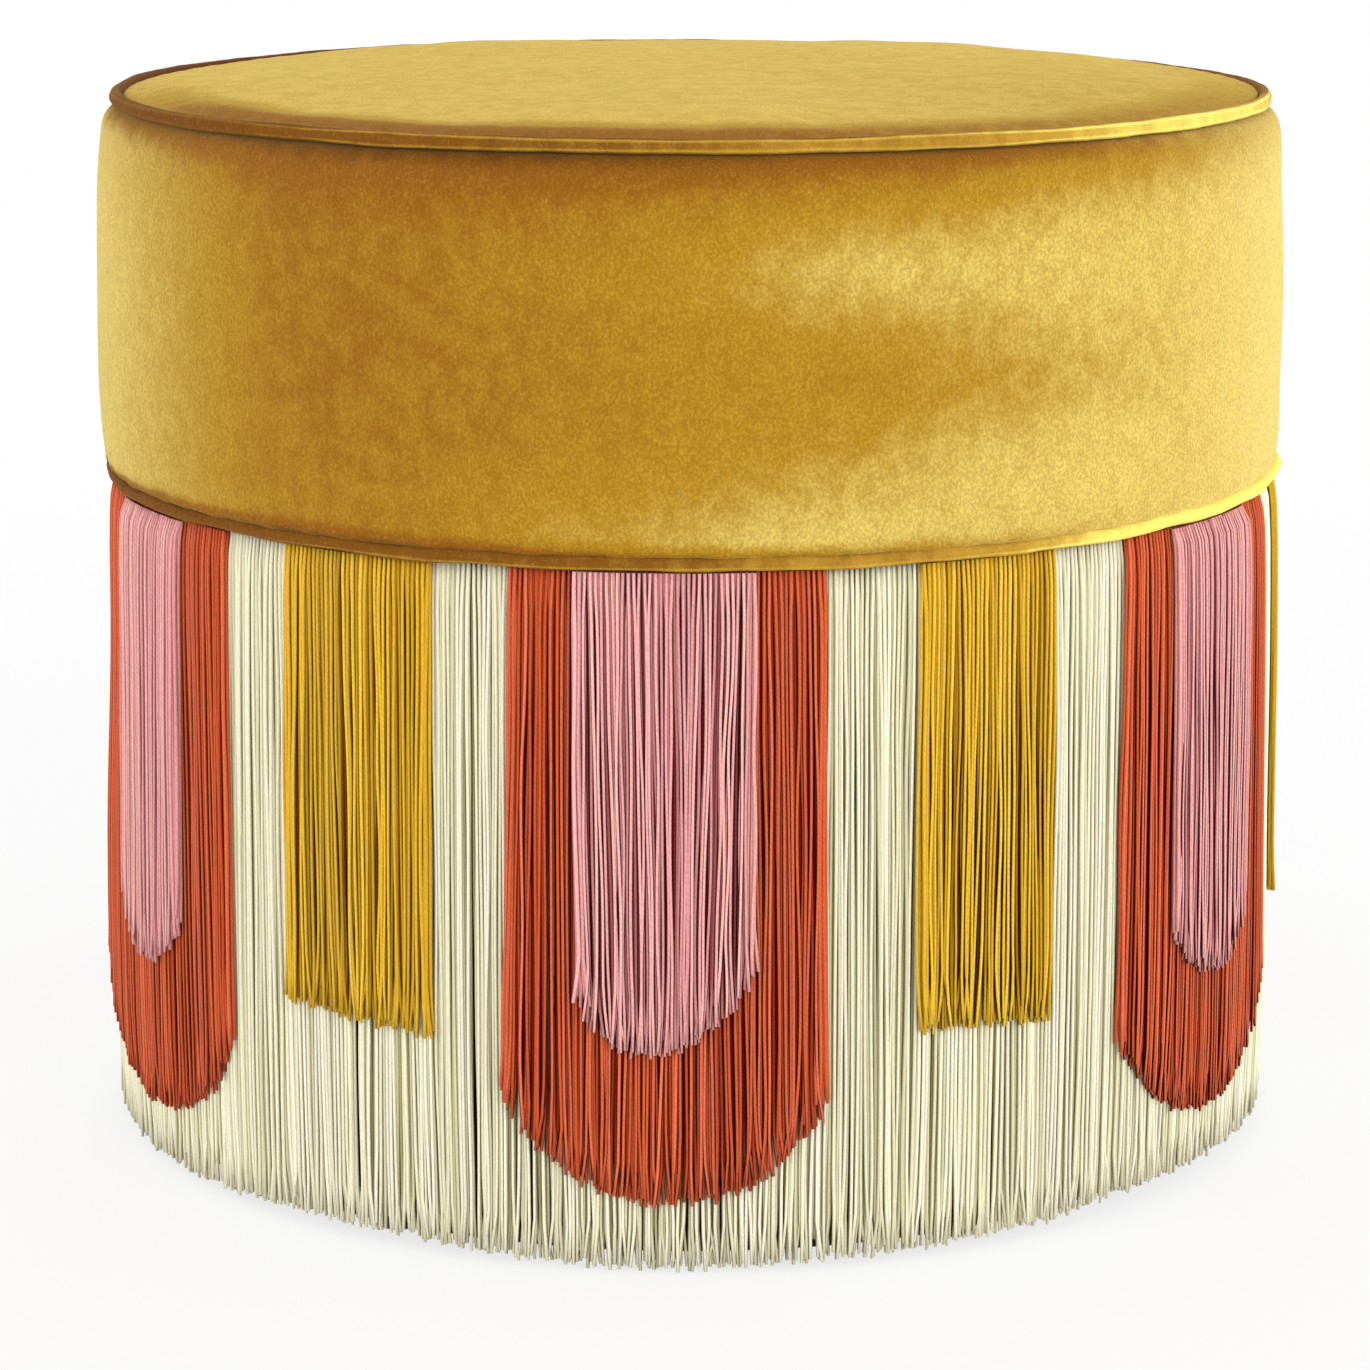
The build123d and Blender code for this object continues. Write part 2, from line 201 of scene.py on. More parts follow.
# A smooth closed ripple round the rim, made of a few whole waves
def rimRipple(rng, around, waves, height):
    turn = fullTurn(around)
    ripple = np.zeros(around)
    for wave in waves:
        ripple += rng.normal() * np.sin(wave * turn + rng.uniform(0.0, 2.0 * math.pi))
    return ripple * height / math.sqrt(len(waves) / 2.0)


# Reads a table of (degrees from the front, value) at other degrees
def readTable(table, degreesRound, period=None):
    angles, values = zip(*table)
    return np.interp(degreesRound, angles, values, period=period)


def byTurn(around, table):
    return readTable(table, np.arange(around) * 360.0 / around, 360.0)


def degreesOf(points):
    return np.degrees(np.arctan2(points[:, 0], -points[:, 1]))


# The same degrees, counted from -180 to 180
def halfTurn(degreesRound):
    return (degreesRound + 180.0) % 360.0 - 180.0


print("helpers ready")


# Node helpers: a source is a socket to link or a plain value to set
def feed(tree, target, source):
    if isinstance(source, bpy.types.NodeSocket):
        tree.links.new(source, target)
    else:
        target.default_value = source


def mathNode(tree, operation, first, second=0.0, third=0.0):
    node = tree.nodes.new("ShaderNodeMath")
    node.operation = operation
    for target, source in zip(node.inputs, (first, second, third)):
        feed(tree, target, source)
    return node.outputs[0]


def mixNode(tree, factor, first, second, blend="MIX"):
    node = tree.nodes.new("ShaderNodeMix")
    node.data_type = "RGBA"
    node.blend_type = blend
    feed(tree, node.inputs[0], factor)
    feed(tree, node.inputs[6], first)
    feed(tree, node.inputs[7], second)
    return node.outputs[2]


def rangeNode(tree, value, fromLow, fromHigh, toLow, toHigh):
    node = tree.nodes.new("ShaderNodeMapRange")
    node.interpolation_type = "SMOOTHSTEP"
    for name, source in (("Value", value), ("From Min", fromLow), ("From Max", fromHigh),
                         ("To Min", toLow), ("To Max", toHigh)):
        feed(tree, node.inputs[name], source)
    return node.outputs["Result"]


def noiseNode(tree, vector, scale, detail=2.0, roughness=0.5):
    node = tree.nodes.new("ShaderNodeTexNoise")
    feed(tree, node.inputs["Vector"], vector)
    feed(tree, node.inputs["Scale"], scale)
    node.inputs["Detail"].default_value = detail
    node.inputs["Roughness"].default_value = roughness
    return node.outputs["Fac"]


def placeNode(tree):
    return tree.nodes.new("ShaderNodeTexCoord").outputs["Object"]


def stretchNode(tree, vector, scale):
    node = tree.nodes.new("ShaderNodeMapping")
    feed(tree, node.inputs["Vector"], vector)
    feed(tree, node.inputs["Scale"], scale)
    return node.outputs["Vector"]


def splitNode(tree, vector):
    node = tree.nodes.new("ShaderNodeSeparateXYZ")
    feed(tree, node.inputs["Vector"], vector)
    return node


def pointValueNode(tree, name):
    node = tree.nodes.new("ShaderNodeAttribute")
    node.attribute_name = name
    return node.outputs["Fac"]


def startGroup(name, inputs, outputs):
    tree = bpy.data.node_groups.new(name, "ShaderNodeTree")
    for socket, kind, value in inputs:
        made = tree.interface.new_socket(name=socket, in_out="INPUT", socket_type=kind)
        made.default_value = value
    for socket, kind in outputs:
        tree.interface.new_socket(name=socket, in_out="OUTPUT", socket_type=kind)
    return tree, tree.nodes.new("NodeGroupInput"), tree.nodes.new("NodeGroupOutput")


def groupNode(tree, group, values):
    node = tree.nodes.new("ShaderNodeGroup")
    node.node_tree = group
    for name, source in values.items():
        feed(tree, node.inputs[name], source)
    return node


def startMaterial(name):
    material = bpy.data.materials.new(name)
    material.use_nodes = True
    tree = material.node_tree
    return material, tree, tree.nodes["Principled BSDF"]


def bumpNode(tree, shader, height, strength, distance):
    node = tree.nodes.new("ShaderNodeBump")
    node.inputs["Strength"].default_value = strength
    node.inputs["Distance"].default_value = distance
    tree.links.new(height, node.inputs["Height"])
    tree.links.new(node.outputs["Normal"], shader.inputs["Normal"])


# Short velvet pile: a fine mottle of leaning tufts, and a coarser cloudiness
def buildPileGroup():
    tree, given, out = startGroup(
        "velvetPile",
        [("Tuft Scale", "NodeSocketFloat", 620.0), ("Cloud Scale", "NodeSocketFloat", 130.0)],
        [("Mottle", "NodeSocketFloat"), ("Tips", "NodeSocketFloat"), ("Cloud", "NodeSocketFloat"),
         ("Height", "NodeSocketFloat")],
    )
    place = placeNode(tree)
    leaning = stretchNode(tree, place, (1.0, 1.0, 0.8))     # tufts lie a little downwards
    fine = noiseNode(tree, leaning, given.outputs["Tuft Scale"], 3.0, 0.6)
    cloud = noiseNode(tree, leaning, given.outputs["Cloud Scale"], 3.0, 0.55)
    mottle = rangeNode(tree, fine, 0.36, 0.64, 0.0, 1.0)
    feed(tree, out.inputs["Mottle"], mottle)
    feed(tree, out.inputs["Tips"], rangeNode(tree, fine, 0.54, 0.70, 0.0, 1.0))
    feed(tree, out.inputs["Cloud"], rangeNode(tree, cloud, 0.33, 0.67, 0.0, 1.0))
    feed(tree, out.inputs["Height"], mathNode(tree, "MULTIPLY_ADD", cloud, 0.6, mottle))
    return tree


# Two-ply twist of a cord, read from the map that each strand carries, with masks for painted shade in its
# grooves and at its sides
def buildTwistGroup():
    tree, given, out = startGroup(
        "cordTwist",
        [("Plies", "NodeSocketFloat", 2.0)],
        [("GrooveShade", "NodeSocketFloat"), ("EdgeShade", "NodeSocketFloat"), ("Height", "NodeSocketFloat"),
         ("Fibre", "NodeSocketFloat")],
    )
    strandMap = tree.nodes.new("ShaderNodeUVMap")
    strandMap.uv_map = "strandUv"
    split = splitNode(tree, strandMap.outputs["UV"])
    turns = mathNode(tree, "MULTIPLY_ADD", split.outputs["X"], given.outputs["Plies"], split.outputs["Y"])
    wave = mathNode(tree, "SINE", mathNode(tree, "MULTIPLY", turns, 2.0 * math.pi))
    ply = mathNode(tree, "MULTIPLY_ADD", wave, 0.5, 0.5)
    fibre = noiseNode(tree, stretchNode(tree, placeNode(tree), (1.0, 1.0, 0.25)), 1500.0, 2.0, 0.6)
    outward = mathNode(tree, "SINE", mathNode(tree, "MULTIPLY", split.outputs["X"], 2.0 * math.pi))
    feed(tree, out.inputs["GrooveShade"], rangeNode(tree, ply, 0.0, 0.45, 1.0, 0.0))
    feed(tree, out.inputs["EdgeShade"], rangeNode(tree, outward, 0.25, 0.95, 1.0, 0.0))
    feed(tree, out.inputs["Height"], mathNode(tree, "POWER", ply, 0.5))
    feed(tree, out.inputs["Fibre"], fibre)
    return tree


# Long streaks with rings across, for the hidden timber
def buildGrainGroup():
    tree, given, out = startGroup(
        "timberGrain",
        [("Along", "NodeSocketVector", (1.0, 1.0, 1.0)), ("Scale", "NodeSocketFloat", 60.0)],
        [("Streak", "NodeSocketFloat"), ("Height", "NodeSocketFloat")],
    )
    drawn = stretchNode(tree, placeNode(tree), given.outputs["Along"])
    wide = noiseNode(tree, drawn, given.outputs["Scale"], 4.0, 0.6)
    finer = mathNode(tree, "MULTIPLY", given.outputs["Scale"], 9.0)
    pores = noiseNode(tree, drawn, finer, 2.0, 0.7)
    streak = mathNode(tree, "MULTIPLY_ADD", pores, 0.35, mathNode(tree, "MULTIPLY", wide, 0.65))
    feed(tree, out.inputs["Streak"], rangeNode(tree, streak, 0.35, 0.65, 0.0, 1.0))
    feed(tree, out.inputs["Height"], streak)
    return tree


# Specks of fibre or cells, for felt, wadding, foam, hardboard and plastic
def buildSpeckGroup():
    tree, given, out = startGroup(
        "fibreSpeck",
        [("Scale", "NodeSocketFloat", 400.0), ("Stretch", "NodeSocketVector", (1.0, 1.0, 1.0))],
        [("Speck", "NodeSocketFloat"), ("Height", "NodeSocketFloat")],
    )
    drawn = stretchNode(tree, placeNode(tree), given.outputs["Stretch"])
    fine = noiseNode(tree, drawn, given.outputs["Scale"], 4.0, 0.65)
    patch = noiseNode(tree, drawn, mathNode(tree, "MULTIPLY", given.outputs["Scale"], 0.12), 2.0, 0.5)
    both = mathNode(tree, "MULTIPLY_ADD", patch, 0.4, mathNode(tree, "MULTIPLY", fine, 0.6))
    feed(tree, out.inputs["Speck"], rangeNode(tree, both, 0.36, 0.64, 0.0, 1.0))
    feed(tree, out.inputs["Height"], fine)
    return tree


# Plain weave, over and under, round an upright drum and up its side
def buildWeaveGroup():
    tree, given, out = startGroup(
        "plainWeave",
        [("Threads", "NodeSocketFloat", 1400.0), ("Drum", "NodeSocketFloat", 0.238)],
        [("Thread", "NodeSocketFloat"), ("Height", "NodeSocketFloat")],
    )
    split = splitNode(tree, placeNode(tree))
    turn = mathNode(tree, "ARCTAN2", split.outputs["X"], split.outputs["Y"])
    roundDrum = mathNode(tree, "MULTIPLY", turn, given.outputs["Drum"])
    across = mathNode(tree, "MULTIPLY", roundDrum, given.outputs["Threads"])
    upward = mathNode(tree, "MULTIPLY", split.outputs["Z"], given.outputs["Threads"])
    warp = mathNode(tree, "SINE", mathNode(tree, "MULTIPLY", across, math.pi))
    weft = mathNode(tree, "SINE", mathNode(tree, "MULTIPLY", upward, math.pi))
    over = mathNode(tree, "MULTIPLY_ADD", mathNode(tree, "MULTIPLY", warp, weft), 0.5, 0.5)
    slub = noiseNode(tree, placeNode(tree), 220.0, 2.0, 0.6)
    feed(tree, out.inputs["Thread"], mathNode(tree, "MULTIPLY", over, mathNode(tree, "ADD", slub, 0.5)))
    feed(tree, out.inputs["Height"], over)
    return tree


pileGroup = buildPileGroup()
twistGroup = buildTwistGroup()
grainGroup = buildGrainGroup()
speckGroup = buildSpeckGroup()
weaveGroup = buildWeaveGroup()
print("node groups ready")


# Velvet: the nap value says how the pile was last brushed, 0 away from the light and 1 towards it, and also
# carries painted shade in seams and grooves and painted light and sheen round the seat. Pile that is seen
# along the cloth shows its pale sides, so the rim of every curve lights up: a painted sheen in the colour.
def makeVelvet(name, settings):
    material, tree, shader = startMaterial(name)
    pile = groupNode(tree, pileGroup, {
        "Tuft Scale": settings["tuftScale"],
        "Cloud Scale": settings["cloudScale"],
    })
    mottle = pile.outputs["Mottle"]
    blotch = noiseNode(tree, placeNode(tree), settings["blotchScale"], 3.0, 0.55)
    lean = mathNode(tree, "MULTIPLY_ADD", mathNode(tree, "SUBTRACT", blotch, 0.5), settings["blotch"],
                    pointValueNode(tree, "napAndShade"))
    cloudy = mathNode(tree, "SUBTRACT", pile.outputs["Cloud"], 0.5)
    lean = mathNode(tree, "MULTIPLY_ADD", cloudy, settings["cloudiness"], lean)

    # from the painted shade of the seams through pressed flat to brushed up, one colour after the other
    napAndShadeTone = settings["seam"]
    for band, tone in (("seamShadeNap", "deep"), ("lowerNap", "middle"), ("sideNapAndShade", "pale")):
        share = rangeNode(tree, lean, *settings[band], 0.0, 1.0)
        napAndShadeTone = mixNode(tree, share, napAndShadeTone, settings[tone])

    # painted sheen: the colour turns pale towards the rim, where the cloth is seen along its surface
    weight = tree.nodes.new("ShaderNodeLayerWeight")
    weight.inputs["Blend"].default_value = 0.5
    rim = rangeNode(tree, weight.outputs["Facing"], settings["rimFrom"], 1.0, 0.0, settings["rimShare"])
    rim = mathNode(tree, "MULTIPLY", rim, rangeNode(tree, lean, *settings["rimNap"], 0.0, 1.0))
    rimmed = mixNode(tree, rim, napAndShadeTone, settings["rimColour"])
    tufted = mixNode(tree, settings["tuftDepth"], rimmed, settings["tuftColour"])
    tips = mathNode(tree, "MULTIPLY", pile.outputs["Tips"], settings["tipShare"])
    tipped = mixNode(tree, tips, rimmed, settings["rimColour"])
    feed(tree, shader.inputs["Base Color"], mixNode(tree, mottle, tufted, tipped))
    feed(tree, shader.inputs["Roughness"], rangeNode(tree, mottle, 0.0, 1.0, *settings["roughness"]))
    shader.inputs["Specular IOR Level"].default_value = settings["specular"]
    shader.inputs["Sheen Weight"].default_value = settings["sheen"]
    shader.inputs["Sheen Roughness"].default_value = settings["sheenRoughness"]
    shader.inputs["Sheen Tint"].default_value = settings["sheenTint"]
    bumpNode(tree, shader, pile.outputs["Height"], settings["pileStrength"], settings["pileHeight"])
    return material


velvetSettings = {
    # the first colour is the painted shade in seams and grooves
    "seam": colour(92, 42, 2),
    "deep": colour(146, 92, 18),
    "middle": colour(176, 134, 28),
    "pale": colour(222, 194, 98),
    "rimColour": colour(248, 230, 140),
    "rimFrom": 0.35,
    "rimShare": 0.55,
    "tuftColour": colour(104, 60, 6),
    "tuftDepth": 0.33,
    "tipShare": 0.05,
    "tuftScale": 950.0,
    "cloudScale": 120.0,
    "cloudiness": 0.12,
    "blotchScale": 16.0,
    "blotch": 0.17,
    "sheen": 0.32,
    "sheenRoughness": 0.42,
    "sheenTint": colour(250, 228, 140),
    "pileStrength": 0.35,
    "pileHeight": 0.0004,
    "roughness": (0.95, 0.8),  # between the tufts and on them
    "specular": 0.1,
    # from which nap to which one colour gives way to the next
    "seamShadeNap": (-0.6, 0.0),
    "lowerNap": (0.0, 0.5),
    "sideNapAndShade": (0.45, 1.0),
    "rimNap": (0.0, 0.35),
}
seatVelvet = makeVelvet("seatVelvet", velvetSettings)
topVelvet = makeVelvet("topVelvet", {
    **velvetSettings,
    "middle": colour(182, 142, 36),
    "pale": colour(226, 196, 98),
    "rimShare": 0.06,
    "sheen": 0.08,
    "blotch": 0.08,
    "pileStrength": 0.10,
    "tuftDepth": 0.22,
})
weltVelvet = makeVelvet("weltVelvet", {
    **velvetSettings,
    "deep": colour(122, 74, 14),
    "middle": colour(186, 144, 46),
    "pale": colour(252, 232, 114),
    "rimShare": 0.04,
    "sheen": 0.12,
    "tuftDepth": 0.12,
    "tipShare": 0.06,
    "blotch": 0.10,
    "pileStrength": 0.12,
})


# Cord yarn: a twist of two plies, with each strand a little lighter or darker than the next, and painted shade
# on cords behind, at each cord's sides and in its grooves
yarnFinish = {
    "plies": 2.0,
    "fuzz": 0.16,              # share of dull fibre on a cord
    # share of painted shade in the grooves of the twist
    "grooveShadeShare": 0.20,
    "roughness": (0.5, 0.65),
    "specular": 0.04,
    "sheen": 0.02,
    "sheenRoughness": 0.5,
    "bump": (0.3, 0.00015),
}


def makeYarn(name, settings):
    material, tree, shader = startMaterial(name)
    twist = groupNode(tree, twistGroup, {"Plies": yarnFinish["plies"]})
    fibre = twist.outputs["Fibre"]
    lit = mixNode(tree, pointValueNode(tree, "strandTint"), settings["bright"], settings["other"])
    # strandShade paints cords behind in shade, towards the dark colour
    base = mixNode(tree, pointValueNode(tree, "strandShade"), settings["shadeAndFuzz"], lit)
    fuzz = rangeNode(tree, fibre, 0.35, 0.65, 0.0, yarnFinish["fuzz"])
    fuzzy = mixNode(tree, fuzz, base, settings["shadeAndFuzz"])
    grooveShade = mathNode(tree, "MULTIPLY", twist.outputs["GrooveShade"], yarnFinish["grooveShadeShare"])
    twisted = mixNode(tree, grooveShade, fuzzy, settings["grooveShade"])
    # painted shade at the sides of each cord, as strong as the gap value says
    edge = mathNode(tree, "MULTIPLY", twist.outputs["EdgeShade"], settings["edgeShadeShare"])
    edge = mathNode(tree, "MULTIPLY", edge, pointValueNode(tree, "strandGapShade"))
    feed(tree, shader.inputs["Base Color"], mixNode(tree, edge, twisted, settings["gap"]))
    feed(tree, shader.inputs["Roughness"], rangeNode(tree, fibre, 0.3, 0.7, *yarnFinish["roughness"]))
    shader.inputs["Specular IOR Level"].default_value = yarnFinish["specular"]
    shader.inputs["Sheen Weight"].default_value = yarnFinish["sheen"]
    shader.inputs["Sheen Roughness"].default_value = yarnFinish["sheenRoughness"]
    bumpNode(tree, shader, twist.outputs["Height"], *yarnFinish["bump"])
    return material


# Each yarn's dark colour serves for painted shade on cords behind and for dull fibre; its groove and gap
# colours are painted shade in the twist and between cords
yarnSettings = {
    "cream": {"shadeAndFuzz": colour(176, 168, 116), "bright": colour(253, 251, 234), "other": colour(252, 249, 216),
              "grooveShade": colour(210, 204, 172), "gap": colour(108, 102, 70), "edgeShadeShare": 0.52},
    "ochre": {"shadeAndFuzz": colour(112, 60, 0), "bright": colour(250, 212, 80), "other": colour(240, 190, 36),
              "grooveShade": colour(176, 118, 6), "gap": colour(74, 32, 0), "edgeShadeShare": 0.60},
    "terracotta": {"shadeAndFuzz": colour(112, 6, 0), "bright": colour(242, 125, 88), "other": colour(222, 98, 48),
                   "grooveShade": colour(152, 42, 14), "gap": colour(64, 0, 0), "edgeShadeShare": 0.92},
    "pink": {"shadeAndFuzz": colour(124, 24, 28), "bright": colour(252, 184, 184), "other": colour(252, 192, 182),
             "grooveShade": colour(184, 92, 96), "gap": colour(70, 0, 6), "edgeShadeShare": 0.90},
}
yarns = {name: makeYarn(name + "Yarn", settings) for name, settings in yarnSettings.items()}


# A two-tone finish from one of the shared groups
def makeFinish(name, group, values, factor, dark, light, roughness, bump, metallic=0.0):
    material, tree, shader = startMaterial(name)
    made = groupNode(tree, group, values)
    feed(tree, shader.inputs["Base Color"], mixNode(tree, made.outputs[factor], dark, light))
    feed(tree, shader.inputs["Roughness"], rangeNode(tree, made.outputs[factor], 0.0, 1.0, *roughness))
    shader.inputs["Metallic"].default_value = metallic
    bumpNode(tree, shader, made.outputs["Height"], *bump)
    return material


blackCloth = makeFinish("blackCloth", weaveGroup, {"Threads": 1400.0, "Drum": 0.238}, "Thread",
                        colour(12, 11, 11), colour(40, 37, 36), (0.95, 0.8), (0.5, 0.0003))
dustFelt = makeFinish("dustFelt", speckGroup, {"Scale": 700.0}, "Speck",
                      colour(24, 24, 25), colour(58, 57, 58), (0.95, 0.85), (0.4, 0.0004))
foamCells = makeFinish("foamCells", speckGroup, {"Scale": 900.0}, "Speck",
                       colour(214, 200, 150), colour(240, 230, 190), (0.95, 0.85), (0.6, 0.0006))
waddingFibre = makeFinish("waddingFibre", speckGroup, {"Scale": 260.0, "Stretch": (1.0, 1.0, 2.5)}, "Speck",
                          colour(222, 222, 218), colour(246, 246, 242), (0.95, 0.85), (0.6, 0.001))
pineTimber = makeFinish("pineTimber", grainGroup, {"Along": (1.0, 1.0, 0.06), "Scale": 90.0}, "Streak",
                        colour(196, 150, 92), colour(232, 200, 144), (0.6, 0.5), (0.25, 0.0004))
bentHardboard = makeFinish("bentHardboard", speckGroup, {"Scale": 500.0}, "Speck",
                           colour(96, 66, 42), colour(134, 98, 66), (0.75, 0.6), (0.2, 0.0003))
glidePlastic = makeFinish("glidePlastic", speckGroup, {"Scale": 1400.0}, "Speck",
                          colour(22, 22, 23), colour(34, 34, 35), (0.5, 0.38), (0.12, 0.0002))
zincSteel = makeFinish("zincSteel", speckGroup, {"Scale": 420.0}, "Speck",
                       colour(150, 152, 158), colour(196, 198, 200), (0.45, 0.28), (0.1, 0.0002), 1.0)
cottonCord = makeFinish("cottonCord", weaveGroup, {"Threads": 900.0, "Drum": 0.24}, "Thread",
                        colour(206, 198, 178), colour(238, 232, 218), (0.95, 0.8), (0.6, 0.0004))


# Plywood: face grain on top and bottom, and layers that show on its edge
def makePlywood(settings):
    material, tree, shader = startMaterial("plywood")
    face = groupNode(tree, grainGroup, {"Along": (1.0, 0.07, 1.0), "Scale": 70.0})
    place = splitNode(tree, placeNode(tree))
    layer = mathNode(tree, "FRACT", mathNode(tree, "MULTIPLY", place.outputs["Z"], 1.0 / settings["twoPlies"]))
    upright = splitNode(tree, tree.nodes.new("ShaderNodeNewGeometry").outputs["True Normal"])
    onEdge = rangeNode(tree, mathNode(tree, "ABSOLUTE", upright.outputs["Z"]), 0.3, 0.7, 1.0, 0.0)
    dark = mathNode(tree, "MULTIPLY", mathNode(tree, "LESS_THAN", layer, 0.5), onEdge)
    faceColour = mixNode(tree, face.outputs["Streak"], settings["dark"], settings["light"])
    feed(tree, shader.inputs["Base Color"], mixNode(tree, dark, faceColour, settings["endGrain"]))
    feed(tree, shader.inputs["Roughness"], rangeNode(tree, face.outputs["Streak"], 0.0, 1.0, 0.7, 0.55))
    bumpNode(tree, shader, face.outputs["Height"], 0.2, 0.0003)
    return material


plywood = makePlywood({
    "dark": colour(206, 170, 120),
    "light": colour(230, 202, 156),
    "endGrain": colour(158, 116, 72),
    "twoPlies": 0.004,
})
print("materials ready")


# Velvet seat: side band, top panel and the two welts. Heights and radii come from the frame.
seatSettings = {
    "around": 480,
    "cloth": 0.0016,           # velvet with its pile
    "shoulderRound": 0.0085,   # velvet turning in to the top welt
    "tuckRound": 0.0036,       # velvet turning in above the bottom welt
    "tuckPress": 0.0008,       # how far it presses down on the welt
    "sideTaper": 0.0035,       # side draws in below the top welt
    "tuckTaper": 0.0008,       # side draws in above the bottom welt
    "widestRise": 0.050,       # widest place above the tuck
    "hemWidth": 0.070,         # velvet turned in under the board
    "seamAllowance": 0.008,
    "crownRise": 0.0095,
    "crownEdge": 0.0155,       # rounded edge of the crown, in from the seam
    "crownDrop": 0.0050,       # how far the crown has fallen where that edge starts
    "gap": 0.0003,
}
# How the pile lies round the seat, as degrees from the front and nap; the nap also holds painted sheen, pale
# towards the sides and the right
napAndSheenRound = [
    (-180.0, 0.50), (-150.0, 0.62), (-125.0, 0.42), (-100.0, 0.60), (-80.0, 0.70), (-62.0, 0.64), (-48.0, 0.50),
    (-38.0, 0.28), (-20.0, 0.26), (-4.0, 0.34), (12.0, 0.46), (28.0, 0.58), (42.0, 0.72), (58.0, 0.86),
    (76.0, 0.95), (95.0, 0.80), (120.0, 0.48), (150.0, 0.34), (180.0, 0.50),
]
# Single strokes of the brush: degrees from the front, height, spread of both, and how strongly
brushMarks = [
    (16.0, 0.390, 15.0, 0.019, 0.27),
    (36.0, 0.380, 12.0, 0.024, 0.12),
    (24.0, 0.352, 14.0, 0.016, -0.08),
    (-8.0, 0.302, 16.0, 0.016, 0.10),
    (8.0, 0.288, 22.0, 0.010, 0.26),
    (14.0, 0.300, 20.0, 0.018, 0.18),
    (34.0, 0.310, 18.0, 0.026, 0.21),
    (44.0, 0.405, 14.0, 0.022, 0.10),
    (-30.0, 0.352, 10.0, 0.040, -0.08),
    (140.0, 0.375, 24.0, 0.040, 0.20),
    (-140.0, 0.345, 20.0, 0.050, -0.15),
]
# Painted shade along the top panel's edge, where the crown rounds down to the welt
topEdgeShade = [
    (-180.0, 0.0), (-95.0, 0.0), (-80.0, 0.10), (-68.0, 0.38), (-52.0, 0.84), (-10.0, 0.90), (10.0, 0.72),
    (25.0, 0.54), (45.0, 0.42), (75.0, 0.36), (95.0, 0.10), (130.0, 0.0), (180.0, 0.0),
]
# Painted shade in the groove where the side band turns in above the bottom welt
tuckRoundShade = [
    (-180.0, 0.2), (-110.0, 0.8), (-85.0, 1.0), (-60.0, 0.85), (-40.0, 0.60), (-20.0, 0.50), (0.0, 0.40),
    (20.0, 0.30), (45.0, 0.0), (100.0, 0.0), (180.0, 0.20),
]
# Painted shade, partly pile pressed flat: under the top welt, closest to its seam, and above the bottom welt
shadedBand = {"deep": 0.018, "strength": 0.42, "seam": 0.0065, "seamStrength": 0.24, "tuck": 0.0036}
# The top isn't quite level: degrees from the front, and how far the panel's edge and the top welt are lifted
panelLift = [
    (-180.0, 0.0016), (-148.0, 0.0019), (-110.0, 0.0012), (-80.0, 0.0004), (-45.0, 0.0), (45.0, 0.0),
    (75.0, 0.0004), (100.0, 0.0010), (130.0, 0.0013), (180.0, 0.0016),
]
topWeltLift = [
    (-180.0, 0.0008), (-148.0, 0.0011), (-110.0, 0.0008), (-80.0, 0.0003), (-50.0, 0.0), (60.0, 0.0),
    (85.0, -0.0004), (115.0, -0.0008), (145.0, -0.0004), (180.0, 0.0008),
]

sideLow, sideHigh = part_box("velvet_side")
panelLow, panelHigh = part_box("velvet_top")
topWeltLow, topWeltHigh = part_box("top_welt_cover")
lowWeltLow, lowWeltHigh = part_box("bottom_welt_cover")
boardLow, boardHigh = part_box("seat_board")

seatRadius = sideHigh.x
seamZ = sideHigh.z
hemZ = sideLow.z
weltRadius = (topWeltHigh.z - topWeltLow.z) / 2.0
topWeltRadius = topWeltHigh.x - weltRadius
lowWeltRadius = lowWeltHigh.x - weltRadius
seamRadius = topWeltRadius - seatSettings["seamAllowance"]
shoulderRadius = seatRadius - seatSettings["sideTaper"] - seatSettings["shoulderRound"]
shoulderZ = seamZ - seatSettings["shoulderRound"]
tuckZ = lowWeltHigh.z - seatSettings["tuckPress"] + seatSettings["tuckRound"]
tuckTurnRadius = seatRadius - seatSettings["tuckTaper"] - seatSettings["tuckRound"]
tuckRadius = boardHigh.x + seatSettings["gap"] + seatSettings["cloth"]
hemRadius = tuckRadius - seatSettings["hemWidth"]


# Nap of the side band, with painted shade under the top welt, closest at its seam, and in the groove above the
# bottom welt
def sideNapAndShade(points):
    degreesRound = degreesOf(points)
    napAndShade = readTable(napAndSheenRound, degreesRound)
    for angle, height, spread, tall, strength in brushMarks:
        away = halfTurn(degreesRound - angle)
        napAndShade += strength * np.exp(-(away / spread) ** 2 - ((points[:, 2] - height) / tall) ** 2)
    under = np.maximum(seamZ - points[:, 2], 0.0)
    napAndShade -= shadedBand["strength"] * np.exp(-(under / shadedBand["deep"]) ** 1.5)
    over = np.maximum(points[:, 2] - lowWeltHigh.z, 0.0)
    napAndShade -= readTable(tuckRoundShade, degreesRound) * np.exp(-(over / shadedBand["tuck"]) ** 2)
    return napAndShade - shadedBand["seamStrength"] * np.exp(-(under / shadedBand["seam"]) ** 2)


